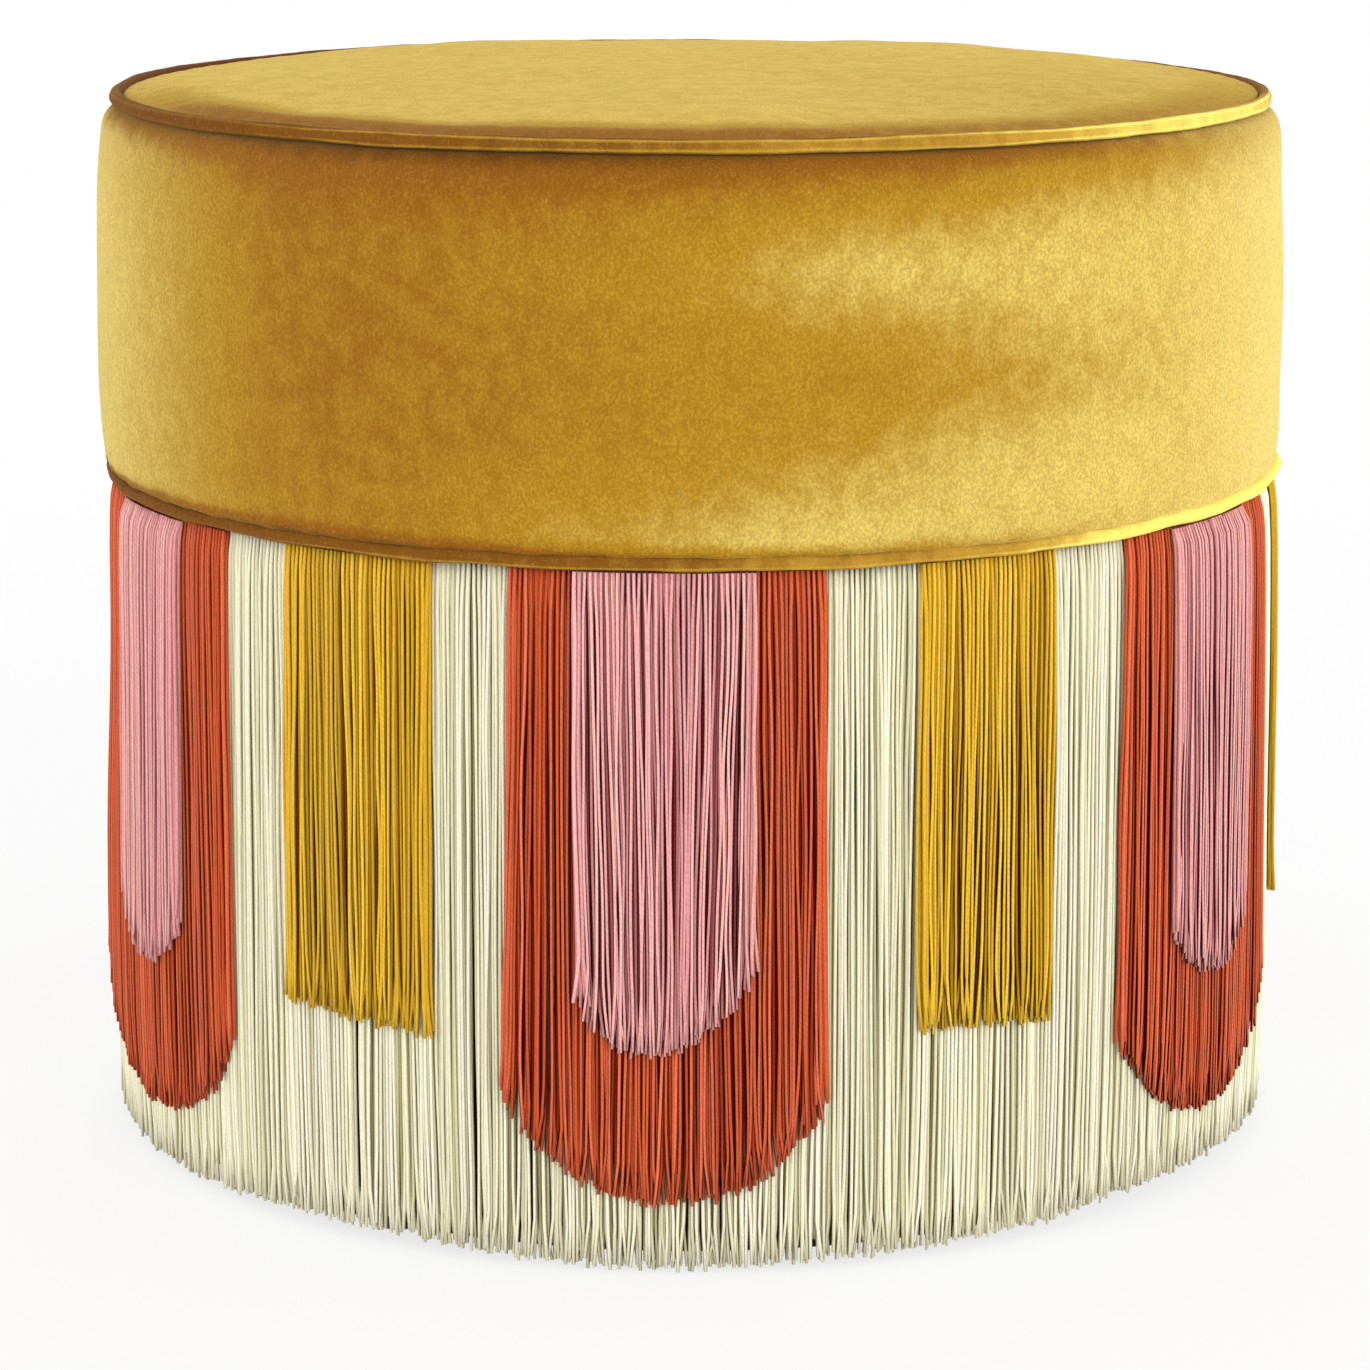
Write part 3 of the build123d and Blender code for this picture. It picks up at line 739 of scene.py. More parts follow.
# One face of the side band, from the top seam over the shoulder and down to the raw edge under the board
def sideLine(inset):
    return joinLines(
        straightLine((seamRadius, seamZ - inset), (shoulderRadius, seamZ - inset), 4),
        arcLine((shoulderRadius, shoulderZ), seatSettings["shoulderRound"] - inset, 90.0, 0.0, 12),
        bowedLine(
            (seatRadius - seatSettings["sideTaper"] - inset, shoulderZ),
            (seatRadius - inset, tuckZ + seatSettings["widestRise"]),
            (seatRadius - seatSettings["tuckTaper"] - inset, tuckZ),
            44,
        ),
        arcLine((tuckTurnRadius, tuckZ), seatSettings["tuckRound"] - inset, 0.0, -90.0, 9),
        straightLine((tuckTurnRadius, tuckZ - seatSettings["tuckRound"] + inset),
                     (tuckRadius - inset, tuckZ - seatSettings["tuckRound"] + inset), 2),
        straightLine((tuckRadius - inset, tuckZ - seatSettings["tuckRound"] + inset),
                     (tuckRadius - inset, hemZ + inset), 3),
        straightLine((tuckRadius - inset, hemZ + inset), (hemRadius, hemZ + inset), 5),
    )


# Middle of the crown out to the seam, for a layer that stands at edgeZ there
def crownLine(edgeZ, count):
    flat = seamRadius - seatSettings["crownEdge"]
    drop = seatSettings["crownDrop"]
    rise = seatSettings["crownRise"]
    sphere = (flat ** 2 + drop ** 2) / (2.0 * drop)
    radii = np.linspace(0.0, seamRadius, count)
    heights = edgeZ + rise - sphere + np.sqrt(sphere ** 2 - np.minimum(radii, flat) ** 2)
    slope = -flat / math.sqrt(sphere ** 2 - flat ** 2)
    run = seamRadius - flat
    bend = (-(rise - drop) - slope * run) / run ** 2      # rounds over from the flat to the seam
    past = np.maximum(radii - flat, 0.0)
    heights += slope * past + bend * past ** 2
    return np.stack([radii, heights], axis=1)


# Cloth run: the cover is blown out against its seams, where each stitch holds it in a little.
# Returns how far its rows move outwards and upwards, for every step round the seat.
coverSettings = {
    "around": 96,
    "everyRow": 3,             # only each third row of the outline is in the run
    "frames": 20,
    "mass": 0.35,
    "bending": 4.0,
    "stitchPull": 0.0004,
    "cap": 0.0010,             # most that the run may add
}


# A coarse cover from its outline, its seams held, as a cloth that is blown out
def coverSheet(name, coarse, held, pressure, stiffness, rng):
    around = coverSettings["around"]
    radii, heights = roundAbout(coarse, around)
    for row in held:
        radii[row] -= np.abs(rng.normal(0.0, coverSettings["stitchPull"], around))
    points = aboutAxis(radii, fullTurn(around), heights).reshape(-1, 3)
    column = np.arange(around)
    after = (column + 1) % around
    faces = []
    for row in range(len(coarse) - 1):
        near = row * around
        far = near + around
        if coarse[row, 0] == 0.0:
            faces.extend(np.stack([np.full(around, near), far + after, far + column], axis=1).tolist())
        else:
            faces.extend(np.stack([near + column, near + after, far + after, far + column], axis=1).tolist())
    mesh = bpy.data.meshes.new(name)
    mesh.from_pydata(points.tolist(), [], [face[::-1] for face in faces])
    sheet = bpy.data.objects.new(name, mesh)
    bpy.context.scene.collection.objects.link(sheet)
    seams = sheet.vertex_groups.new(name="seams")
    for row in held:
        seams.add([int(point) for point in row * around + column], 1.0, "REPLACE")
    run = sheet.modifiers.new("run", "CLOTH")
    run.settings.vertex_group_mass = "seams"
    run.settings.mass = coverSettings["mass"]
    run.settings.tension_stiffness = stiffness
    run.settings.compression_stiffness = stiffness
    run.settings.shear_stiffness = stiffness
    run.settings.bending_stiffness = coverSettings["bending"]
    run.settings.use_pressure = True
    run.settings.uniform_pressure_force = pressure
    run.settings.effector_weights.gravity = 0.0
    return sheet


def swollenCover(name, line, pressure, stiffness, seed):
    rows = len(line)
    rng = np.random.default_rng(seed)
    kept = np.unique(np.concatenate([np.arange(0, rows, coverSettings["everyRow"]), [rows - 1]]))
    coarse = line[kept]
    domed = coarse[0, 0] == 0.0
    held = [len(kept) - 1] if domed else [0, len(kept) - 1]
    sheet = coverSheet(name, coarse, held, pressure, stiffness, rng)
    for step in range(1, coverSettings["frames"] + 1):
        bpy.context.scene.frame_set(step)
    settled = sheet.evaluated_get(bpy.context.evaluated_depsgraph_get())
    blown = meshPoints(settled.to_mesh()).reshape(len(kept), coverSettings["around"], 3)
    settled.to_mesh_clear()
    outward = np.hypot(blown[:, :, 0], blown[:, :, 1]) - coarse[:, :1]
    upward = blown[:, :, 2] - coarse[:, 1:]
    if domed:
        outward[0] = 0.0
        upward[0] = blown[0, 0, 2] - coarse[0, 1]
    print(name, "moved out", outward.min(), outward.max(), "and up", upward.min(), upward.max())
    far = np.maximum(np.hypot(outward, upward), meshSettings["tiny"])
    capped = coverSettings["cap"] * np.tanh(far / coverSettings["cap"]) / far
    mesh = sheet.data
    bpy.data.objects.remove(sheet)
    bpy.data.meshes.remove(mesh)
    bpy.context.scene.frame_set(1)

    # back to every row and step of the seat
    coarseTurn = fullTurn(coverSettings["around"])
    finerTurn = fullTurn(seatSettings["around"])
    moves = []
    for move in (outward * capped, upward * capped):
        roundSteps = np.stack([np.interp(finerTurn, coarseTurn, row, period=2.0 * math.pi) for row in move])
        moves.append(np.stack([np.interp(np.arange(rows), kept, step) for step in roundSteps.T], axis=1))
    return moves


# Ripples are given as whole waves round the seat, and their height
sideSettings = {
    "seed": 11,
    "coverSeed": 13,
    "pressure": 60.0,
    "stiffness": 12.0,
    "fadeLow": 0.25,           # shares of the band's height over which its ripples fade
    "fadeHigh": 0.20,
    "broadRipple": ((2, 3, 5, 7), 0.0004),
    "turnsUp": 9.0,            # a second ripple that changes over up the band, in radians
    "turningRipple": ((4, 6, 9, 11), 0.0003),
    "tuckReach": 0.006,        # puckers where it turns in above the bottom welt
    "tuckEdge": 0.001,
    "tuckOut": ((37, 53, 71, 89), 0.00022),
    "tuckUp": ((41, 59, 83, 113), 0.00025),
    "shoulderDown": 0.004,     # puckers below the top welt
    "shoulderReach": 0.005,
    "shoulderOut": ((43, 61, 79, 97), 0.00018),
    "liftReach": 0.03,         # how far down the band follows the top welt
}


def makeSide():
    rng = np.random.default_rng(sideSettings["seed"])
    around = seatSettings["around"]
    outer = sideLine(0.0)
    inner = sideLine(seatSettings["cloth"])
    radii, heights = roundAbout(np.concatenate([outer, inner[::-1]]), around)
    first = int(np.argmax(outer[:, 0] >= shoulderRadius - meshSettings["nearly"]))
    last = int(np.argmax(outer[:, 1] <= tuckZ + meshSettings["nearly"])) + 1
    outward, upward = swollenCover("sideCover", outer[first:last], sideSettings["pressure"],
                                   sideSettings["stiffness"], sideSettings["coverSeed"])
    for rows in (slice(first, last), slice(2 * len(outer) - 1 - first, 2 * len(outer) - 1 - last, -1)):
        radii[rows] += outward
        heights[rows] += upward

    band = (heights - tuckZ) / (shoulderZ - tuckZ)
    inBand = softStep(band / sideSettings["fadeLow"]) * softStep((1.0 - band) / sideSettings["fadeHigh"])
    inBand = inBand * (radii > tuckRadius)
    radii = radii + inBand * rimRipple(rng, around, *sideSettings["broadRipple"])
    turning = np.sin(band * sideSettings["turnsUp"])
    radii = radii + inBand * turning * rimRipple(rng, around, *sideSettings["turningRipple"])
    tuckShare = np.exp(-((heights - tuckZ) / sideSettings["tuckReach"]) ** 2)
    tuckShare = tuckShare * (radii > tuckTurnRadius + sideSettings["tuckEdge"])
    radii = radii + tuckShare * rimRipple(rng, around, *sideSettings["tuckOut"])
    heights = heights + tuckShare * rimRipple(rng, around, *sideSettings["tuckUp"])
    underWelt = heights - seamZ + sideSettings["shoulderDown"]
    shoulderShare = np.exp(-(underWelt / sideSettings["shoulderReach"]) ** 2) * (radii > topWeltRadius)
    radii = radii + shoulderShare * rimRipple(rng, around, *sideSettings["shoulderOut"])
    lifted = softStep((heights - seamZ) / sideSettings["liftReach"] + 1.0)
    heights = heights + byTurn(around, topWeltLift) * lifted
    mesh = turnedMesh("velvetSide", [(radii[::-1], heights[::-1])])
    setPointValue(mesh, "napAndShade", sideNapAndShade(meshPoints(mesh)))
    return standIn(mesh, "velvet_side", seatVelvet)


panelSettings = {
    "seed": 12,
    "coverSeed": 14,
    "pressure": 0.6,
    "stiffness": 30.0,
    "rows": 60,                # points from the crown's middle out to its seam
    "fadeSeam": 0.05,          # the broad ripple fades out towards the seam and the middle
    "fadeMiddle": 0.1,
    "broadRipple": ((2, 3, 5), 0.0007),
    "puckerIn": 0.004,         # puckers along the seam
    "puckerReach": 0.008,
    "pucker": ((37, 53, 67, 91), 0.00016),
    "liftReach": 0.15,
    "ridge": 0.0014,           # pile that stands up against the welt
    "ridgeOut": 0.0015,
    "ridgeReach": 0.0040,
    "napAndShade": 0.78,
    "rightShade": 0.12,          # how much painted shade darkens the front right of the panel
    "rightReach": 0.2,
    "frontReach": 0.30,
    "edgeWidth": 0.012,        # painted shade along the edge, and how far it fades
    "edgeFade": 0.026,
}


def makeTop():
    rng = np.random.default_rng(panelSettings["seed"])
    around = seatSettings["around"]
    rows = panelSettings["rows"]
    edge = topWeltRadius - weltRadius - seatSettings["gap"]
    upper = panelHigh.z - seatSettings["crownRise"]
    lower = panelLow.z
    outline = joinLines(
        crownLine(upper, rows),
        straightLine((seamRadius, upper), (edge, upper), 5),
        straightLine((edge, lower), (seamRadius, lower), 5),
        crownLine(lower, rows)[::-1],
    )
    radii, heights = roundAbout(outline, around)
    outward, upward = swollenCover("topCover", crownLine(upper, rows), panelSettings["pressure"],
                                   panelSettings["stiffness"], panelSettings["coverSeed"])
    for face in (slice(0, rows), slice(len(outline) - 1, len(outline) - 1 - rows, -1)):
        radii[face] += outward
        heights[face] += upward

    share = softStep((seamRadius - radii) / panelSettings["fadeSeam"])
    share = share * softStep(radii / panelSettings["fadeMiddle"])
    heights = heights + share * rimRipple(rng, around, *panelSettings["broadRipple"])
    fromPucker = radii - seamRadius + panelSettings["puckerIn"]
    puckered = np.exp(-(fromPucker / panelSettings["puckerReach"]) ** 2)
    heights = heights + puckered * rimRipple(rng, around, *panelSettings["pucker"])
    heights = heights + byTurn(around, panelLift) * softStep(radii / panelSettings["liftReach"])
    fromRidge = radii - seamRadius - panelSettings["ridgeOut"]
    heights = heights + panelSettings["ridge"] * np.exp(-(fromRidge / panelSettings["ridgeReach"]) ** 2)
    mesh = turnedMesh("velvetTop", [(radii[::-1], heights[::-1])])

    # the nap, less painted shade on the front right and along the edge where the crown rounds down
    points = meshPoints(mesh)
    fromEdge = np.maximum(edge - np.hypot(points[:, 0], points[:, 1]), 0.0)
    towardsRight = softStep(points[:, 0] / panelSettings["rightReach"])
    towardsFront = softStep(0.5 - points[:, 1] / panelSettings["frontReach"])
    frontRightShade = panelSettings["rightShade"] * towardsRight * towardsFront
    inEdge = 1.0 - softStep((fromEdge - panelSettings["edgeWidth"]) / panelSettings["edgeFade"])
    shaded = readTable(topEdgeShade, degreesOf(points)) * inEdge
    setPointValue(mesh, "napAndShade", panelSettings["napAndShade"] - frontRightShade - shaded)
    return standIn(mesh, "velvet_top", topVelvet)


# Welt: a tube of velvet on a flat flange, with a bore for its cord
weltSettings = {
    "cloth": 0.0012,
    "swell": ((23, 31, 47, 61, 90, 131), 0.00009),
    "sway": ((5, 9, 14, 21), 0.00022),
    "lift": ((6, 11, 17, 26), 0.00022),
    "tubeFrom": 0.5,           # shares of the flange over which the tube's ripples start
    "tubeOver": 0.4,
    # degrees up or down the tube, and spread, of the painted highlights along its lips and of the painted shade
    # above and below them
    "upperHighlight": (50.0, 11.0),
    "above": (66.0, 14.0),
    "lowerHighlight": (-36.0, 12.0),
    "below": (-72.0, 14.0),
    "belowShade": 0.8,
}
# Each welt's nap, lift and shift are degrees from the front and a value. It is cut on the slant, so its pile
# turns with the rim;
# its nap also holds painted light, dark on the left and pale on the right. The bottom one bulges a little at
# the right.
topWeltSettings = {
    "seed": 21,
    "flange": seatSettings["seamAllowance"],
    "lipHighlights": (0.40, 0.36),      # how strong the painted highlights on the upper and the lower lip are
    "lift": topWeltLift,
    "shift": [(-180.0, 0.0), (180.0, 0.0)],
    "napAndShade": [
        (-180.0, 0.45), (-140.0, 0.10), (-90.0, -0.42), (-65.0, -0.34), (-48.0, -0.24), (-30.0, -0.03),
        (-14.0, 0.05), (0.0, 0.13), (10.0, 0.26), (20.0, 0.28), (31.0, 0.38), (43.0, 0.66), (55.0, 0.78),
        (70.0, 0.80), (80.0, 0.62), (90.0, 0.22), (106.0, 0.05), (120.0, 0.10), (150.0, 0.25), (180.0, 0.45),
    ],
}
lowWeltSettings = {
    "seed": 22,
    "flange": 0.022,
    "lipHighlights": (0.0, 0.30),
    "lift": [
        (-180.0, 0.0), (60.0, 0.0), (74.0, 0.0005), (88.0, 0.0010), (104.0, 0.0005), (120.0, 0.0), (180.0, 0.0),
    ],
    "shift": [
        (-180.0, 0.0), (58.0, 0.0), (74.0, 0.0014), (86.0, 0.0028), (100.0, 0.0014), (120.0, 0.0), (180.0, 0.0),
    ],
    "napAndShade": [
        (-180.0, 0.45), (-140.0, 0.15), (-90.0, -0.34), (-65.0, -0.30), (-48.0, -0.22), (-30.0, -0.03),
        (-14.0, 0.05), (0.0, 0.13), (10.0, 0.28), (20.0, 0.30), (31.0, 0.42), (43.0, 0.84), (55.0, 0.98),
        (75.0, 1.05), (92.0, 0.95), (106.0, 0.45), (120.0, 0.20), (150.0, 0.25), (180.0, 0.40),
    ],
}


# Nap of a welt with painted light: painted highlights along its lips, painted shade above the upper lip and
# where it turns in to the seams
def weltNapAndLight(points, centre, settings):
    out = np.hypot(points[:, 0], points[:, 1]) - centre[0]
    tilt = np.degrees(np.arctan2(points[:, 2] - centre[1], out))
    upperAt, upperWide = weltSettings["upperHighlight"]
    aboveAt, aboveWide = weltSettings["above"]
    lowerAt, lowerWide = weltSettings["lowerHighlight"]
    belowAt, belowWide = weltSettings["below"]
    upperHighlight = np.exp(-((tilt - upperAt) / upperWide) ** 2) - softStep((tilt - aboveAt) / aboveWide)
    lowerHighlight = np.exp(-((tilt - lowerAt) / lowerWide) ** 2)
    napAndShade = readTable(settings["napAndShade"], degreesOf(points))
    napAndShade += settings["lipHighlights"][0] * upperHighlight
    napAndShade += settings["lipHighlights"][1] * lowerHighlight
    return napAndShade - weltSettings["belowShade"] * softStep((belowAt - tilt) / belowWide)


def makeWelt(name, node, radius, lowZ, settings):
    rng = np.random.default_rng(settings["seed"])
    around = 2 * seatSettings["around"]
    cloth = weltSettings["cloth"]
    flange = settings["flange"]
    centre = (radius, lowZ + weltRadius)
    # where the tube meets the flange, in degrees
    meet = 180.0 + math.degrees(math.asin((weltRadius - cloth) / weltRadius))
    tube = joinLines(
        straightLine((radius - flange, lowZ), (radius, lowZ), 4),
        arcLine(centre, weltRadius, -90.0, meet, 28),
        straightLine((radius - flange / 3.0, lowZ + cloth), (radius - flange, lowZ + cloth), 3),
    )
    bore = arcLine(centre, weltRadius - cloth, 0.0, -345.0, 24)
    swell = rimRipple(rng, around, *weltSettings["swell"])
    sway = rimRipple(rng, around, *weltSettings["sway"])
    lift = rimRipple(rng, around, *weltSettings["lift"])
    outlines = []
    for line, share in ((tube, 1.0), (bore, 0.0)):
        radii, heights = roundAbout(line, around)
        fromMiddle = np.hypot(radii - centre[0], heights - centre[1])
        onTube = (radii - radius + flange * weltSettings["tubeFrom"]) / (flange * weltSettings["tubeOver"])
        onTube = softStep(onTube)
        radii = radii + (radii - centre[0]) / fromMiddle * swell * share * onTube + sway * onTube
        heights = heights + (heights - centre[1]) / fromMiddle * swell * share * onTube + lift * onTube
        radii = radii + byTurn(around, settings["shift"]) * onTube
        heights = heights + byTurn(around, settings["lift"])
        outlines.append((radii, heights))
    mesh = turnedMesh(name, outlines)
    setPointValue(mesh, "napAndShade", weltNapAndLight(meshPoints(mesh), centre, settings))
    standIn(mesh, node, weltVelvet)


velvetSide = makeSide()
velvetTop = makeTop()
makeWelt("topWelt", "top_welt_cover", topWeltRadius, topWeltLow.z, topWeltSettings)
makeWelt("bottomWelt", "bottom_welt_cover", lowWeltRadius, lowWeltLow.z, lowWeltSettings)
print("velvet seat made")


# Fringe: three loose rows of cords on a woven heading, one piece for each panel
fringeSettings = {
    "panels": 6,               # of each colour
    "steps": 24,               # points down each cord
    "stepShares": (0.82, 0.18),   # how much of their spacing is even, and how much grows with the depth
    "sides": 6,
    "twist": 0.0021,           # length of one turn of the plies
    "thick": 0.00075,          # half a cord's width
    "girths": (0.88, 1.1),     # thinnest and thickest cord, as shares of that
    "endGirth": 0.85,
    "heading": 0.006,
    "headingCloth": 0.0006,
    "headingDrop": 0.0004,     # top of the heading below the tops of the cords
    "headingInset": 0.008,     # how much it stops short of the panel's sides, in radians
    "headingSteps": 40,
    "rowPitch": (0.00208, 0.00192, 0.00145),   # from cord to cord in the front, middle and back rows
    "rowJitter": (0.34, 0.48, 0.30),           # how far a cord strays, as a share of that
    "rowShade": (0.80, 0.40, 0.06),            # how bright each row is painted: rows behind are painted in shade
    "rowFollow": (1.0, 0.7, 0.1),              # how far it goes along with the bunching
    "rowSlack": 0.0003,        # how far a cord is in front of its row or behind it
    # cut
    "ragged": 0.0011,          # how unevenly the cords are cut
    "raggedLimits": (-0.004, 0.0025),
    "shortShare": 0.05,        # a few are shorter
    "shortBy": (0.001, 0.005),
    # bunching, given as the widths of the bunches
    "neat": 0.022,             # cords lie neatly side by side this far down
    "swayFrom": 0.008,         # depth at which they start to drift, and over which they do
    "swayOver": 0.07,
    "bunches": (0.0052, 0.0085, 0.014),
    "wideBunches": (0.031, 0.057),
    "wideSway": 0.22,
    "wideShares": (0.45, 0.55),   # how much of that each cord takes, and how much more if it is free
    "slide": 2.2,              # how far a bunch moves over down the panel, in radians
    "tuft": 0.036,             # length of the loose ends
    "tuftBunches": (0.0061, 0.0102),
    # each cord's own wander, its flicked end, and strays
    "wanderWaves": (0.7, 2.2),
    "wander": (0.0001, 0.0006),
    "flick": 0.020,
    "flickCurve": 1.4,
    "flickSide": 0.0011,
    "flickOut": 0.0005,
    "strayShare": 0.025,
    "stray": 0.0028,
    "strayFrom": 0.4,
    # how far the cords stand out from their heading at the sides of the pouf, by depth below it
    "standDepth": (0.0, 0.004, 0.012, 0.030, 0.081, 0.132, 0.183, 0.217, 0.251, 0.275),
    "standOut": (0.0028, 0.0044, 0.0056, 0.0066, 0.0080, 0.0094, 0.0107, 0.0110, 0.0103, 0.0095),
    "standFrom": 0.05,         # depth at which standRoundHigh gives way to standRound, and over which it does
    "standOver": 0.11,
    "underWelt": 0.0012,       # how far the tops stay in from the welt's edge
    # shades: painted shade of rows behind and of the gaps between cords, and tone from cord to cord
    "shadeSpread": 0.13,
    "palerShare": 0.07,        # a few cords of the front row are paler
    "paler": 0.3,
    "endShade": 0.62,          # cords behind aren't painted darker than this at their ends
    "endReach": 0.022,
    "deepGap": 1.3,            # how dark the painted shade in the gaps gets further down, and over which depth
    "deepGapOver": 0.11,
    "endGap": 0.30,            # how much lighter that painted shade is at the ends
    "gapDegrees": (-180.0, -120.0, -38.0, -10.0, 8.0, 28.0, 120.0, 180.0),
    "borderCords": 2.2,        # cords along the panel's sides get little painted shade
    "borderShade": 0.72,
    "borderGap": 0.2,
}
# Cords hang closer to the plinth at the front than at the sides: degrees from the front, and share of that
standRound = [
    (-180.0, 0.90), (-110.0, 0.95), (-80.0, 0.93), (-62.0, 0.76), (-45.0, 0.55), (-30.0, 0.42), (0.0, 0.38),
    (30.0, 0.42), (45.0, 0.55), (62.0, 0.74), (80.0, 0.90), (110.0, 0.95), (180.0, 0.90),
]
# The same close under the welt
standRoundHigh = [
    (-180.0, 0.90), (-120.0, 0.80), (-105.0, 0.64), (-86.0, 0.62), (-70.0, 0.68), (-58.0, 0.70), (-45.0, 0.55),
    (-30.0, 0.42), (0.0, 0.38), (30.0, 0.42), (45.0, 0.55), (62.0, 0.76), (80.0, 1.00), (95.0, 1.10),
    (115.0, 1.10), (180.0, 0.90),
]
# Panels that were sewn on a little to one side, wider or narrower: node, shift along the rim and extra width
sewnOff = {
    "ochre_fringe_1": (-0.0004, -0.0055),
    "ochre_fringe_2": (0.0040, -0.0080),
    "ochre_fringe_5": (-0.0060, -0.0120),
    "ochre_fringe_6": (0.0017, 0.0035),
    "pink_fringe_1": (-0.0008, 0.0),
    "pink_fringe_2": (-0.0035, -0.0070),
    "pink_fringe_6": (0.0015, -0.0080),
    "terracotta_fringe_6": (-0.0090, 0.0180),
}
# Panels that were cut a little off: node, how far the longest cord is from the middle, extra length and slant
cutOff = {
    "ochre_fringe_1": (0.0, -0.0035, 0.0018),
    "ochre_fringe_2": (0.0, -0.0055, 0.0),
    "ochre_fringe_6": (0.0, -0.0032, 0.0024),
    "pink_fringe_1": (-0.0040, -0.0025, -0.0035),
    "pink_fringe_2": (0.0030, -0.0025, 0.0010),
    "pink_fringe_6": (-0.0030, -0.0025, 0.0010),
    "terracotta_fringe_2": (0.0050, -0.0025, 0.0),
    "terracotta_fringe_6": (0.0080, 0.0012, 0.0),
}
# gather: how much narrower a panel gets down to its end
# steady: how closely its back row keeps to its place
# gaps: painted shade in the gaps between cords at the heading, and its share on the left, in front and on the
# right, less on the left as painted light from that side
# sway, tuftPull: how strongly the cords bunch on their way down, and at their ends
fringes = {
    "cream": {"seed": 100, "sideLength": None, "levelHem": True, "gather": 0.0, "steady": 0.30,
              "gaps": (0.35, 0.20, 1.2, 0.50), "sway": 0.42, "tuftPull": 0.55},
    "ochre": {"seed": 200, "sideLength": None, "levelHem": False, "gather": 0.0, "steady": 0.60,
              "gaps": (0.15, 0.75, 1.0, 1.45), "sway": 0.40, "tuftPull": 0.50},
    "terracotta": {"seed": 300, "sideLength": 0.202, "levelHem": False, "gather": -0.045, "steady": 0.90,
                   "gaps": (0.55, 0.60, 1.0, 1.15), "sway": 0.42, "tuftPull": 0.55},
    "pink": {"seed": 400, "sideLength": 0.156, "levelHem": False, "gather": 0.060, "steady": 0.80,
             "gaps": (0.75, 0.42, 1.1, 1.00), "sway": 0.42, "tuftPull": 0.55},
}
# The skirt's hem isn't cut quite level: degrees from the front, and how much longer the cords are there
hemRound = [
    (-180.0, 0.0), (-60.0, 0.0005), (-45.0, -0.0008), (-34.0, -0.0024), (-27.0, -0.0026), (-18.0, -0.0006),
    (-6.0, 0.0014), (4.0, 0.0014), (20.0, -0.0004), (36.0, -0.0015), (46.0, -0.0045), (60.0, -0.0040),
    (75.0, -0.0020), (95.0, 0.0006), (130.0, -0.0012), (180.0, 0.0),
]


# A shared drift across the panel: where it bunches, neighbours close up and leave gaps beside them
def sharedDrift(rng, across, share, lengths, strength):
    drift = np.zeros((len(across), share.shape[1]))
    for length in lengths:
        wave = 2.0 * math.pi / length
        phase = rng.uniform(0.0, 2.0 * math.pi)
        slide = rng.uniform(-fringeSettings["slide"], fringeSettings["slide"])
        drift += strength / wave * np.sin(wave * across[:, None] + phase + slide * share)
    return drift / math.sqrt(len(lengths))


# Each cord's row, how free it is, and its place along the panel: even at the heading, loose below it
def placeCords(fringe, rng, width):
    thick = fringeSettings["thick"]
    even = []
    rows = []
    for row, pitch in enumerate(fringeSettings["rowPitch"]):
        count = int(round(width / pitch))
        even.append((np.arange(count) + 0.5) * (width - 2.0 * thick) / count - width / 2.0 + thick)
        rows.append(np.full(count, row))
    even = np.concatenate(even)
    rows = np.concatenate(rows)
    free = np.where(rows == 2, 1.0 - fringe["steady"], 1.0)     # the back row is held closer to its place
    jitter = (np.array(fringeSettings["rowPitch"]) * np.array(fringeSettings["rowJitter"]))[rows] * free
    loose = even + rng.uniform(-1.0, 1.0, len(even)) * jitter
    loose = np.clip(loose, -width / 2.0 + thick, width / 2.0 - thick)
    return {"rows": rows, "free": free, "even": even, "loose": loose}


# Lengths, cut straight or to a round end
def cutCords(fringe, cut, rng, cords, width, middle):
    loose = cords["loose"]
    total = len(loose)
    half = width / 2.0
    offMiddle, extra, slant = cut
    lengths = middle + extra + slant * loose / half
    if fringe["sideLength"]:
        depth = middle - fringe["sideLength"]
        bend = (half ** 2 + depth ** 2) / (2.0 * depth)
        fromLongest = loose - offMiddle * (1.0 - (loose / half) ** 2)
        lengths -= bend - np.sqrt(np.maximum(bend ** 2 - fromLongest ** 2, 0.0))
    if fringe["levelHem"]:
        lengths += readTable(hemRound, cords["degrees"], 360.0)
    lengths += np.clip(rng.normal(0.0, fringeSettings["ragged"], total), *fringeSettings["raggedLimits"])
    shorter = rng.random(total) < fringeSettings["shortShare"]
    return lengths - shorter * rng.uniform(*fringeSettings["shortBy"], total)


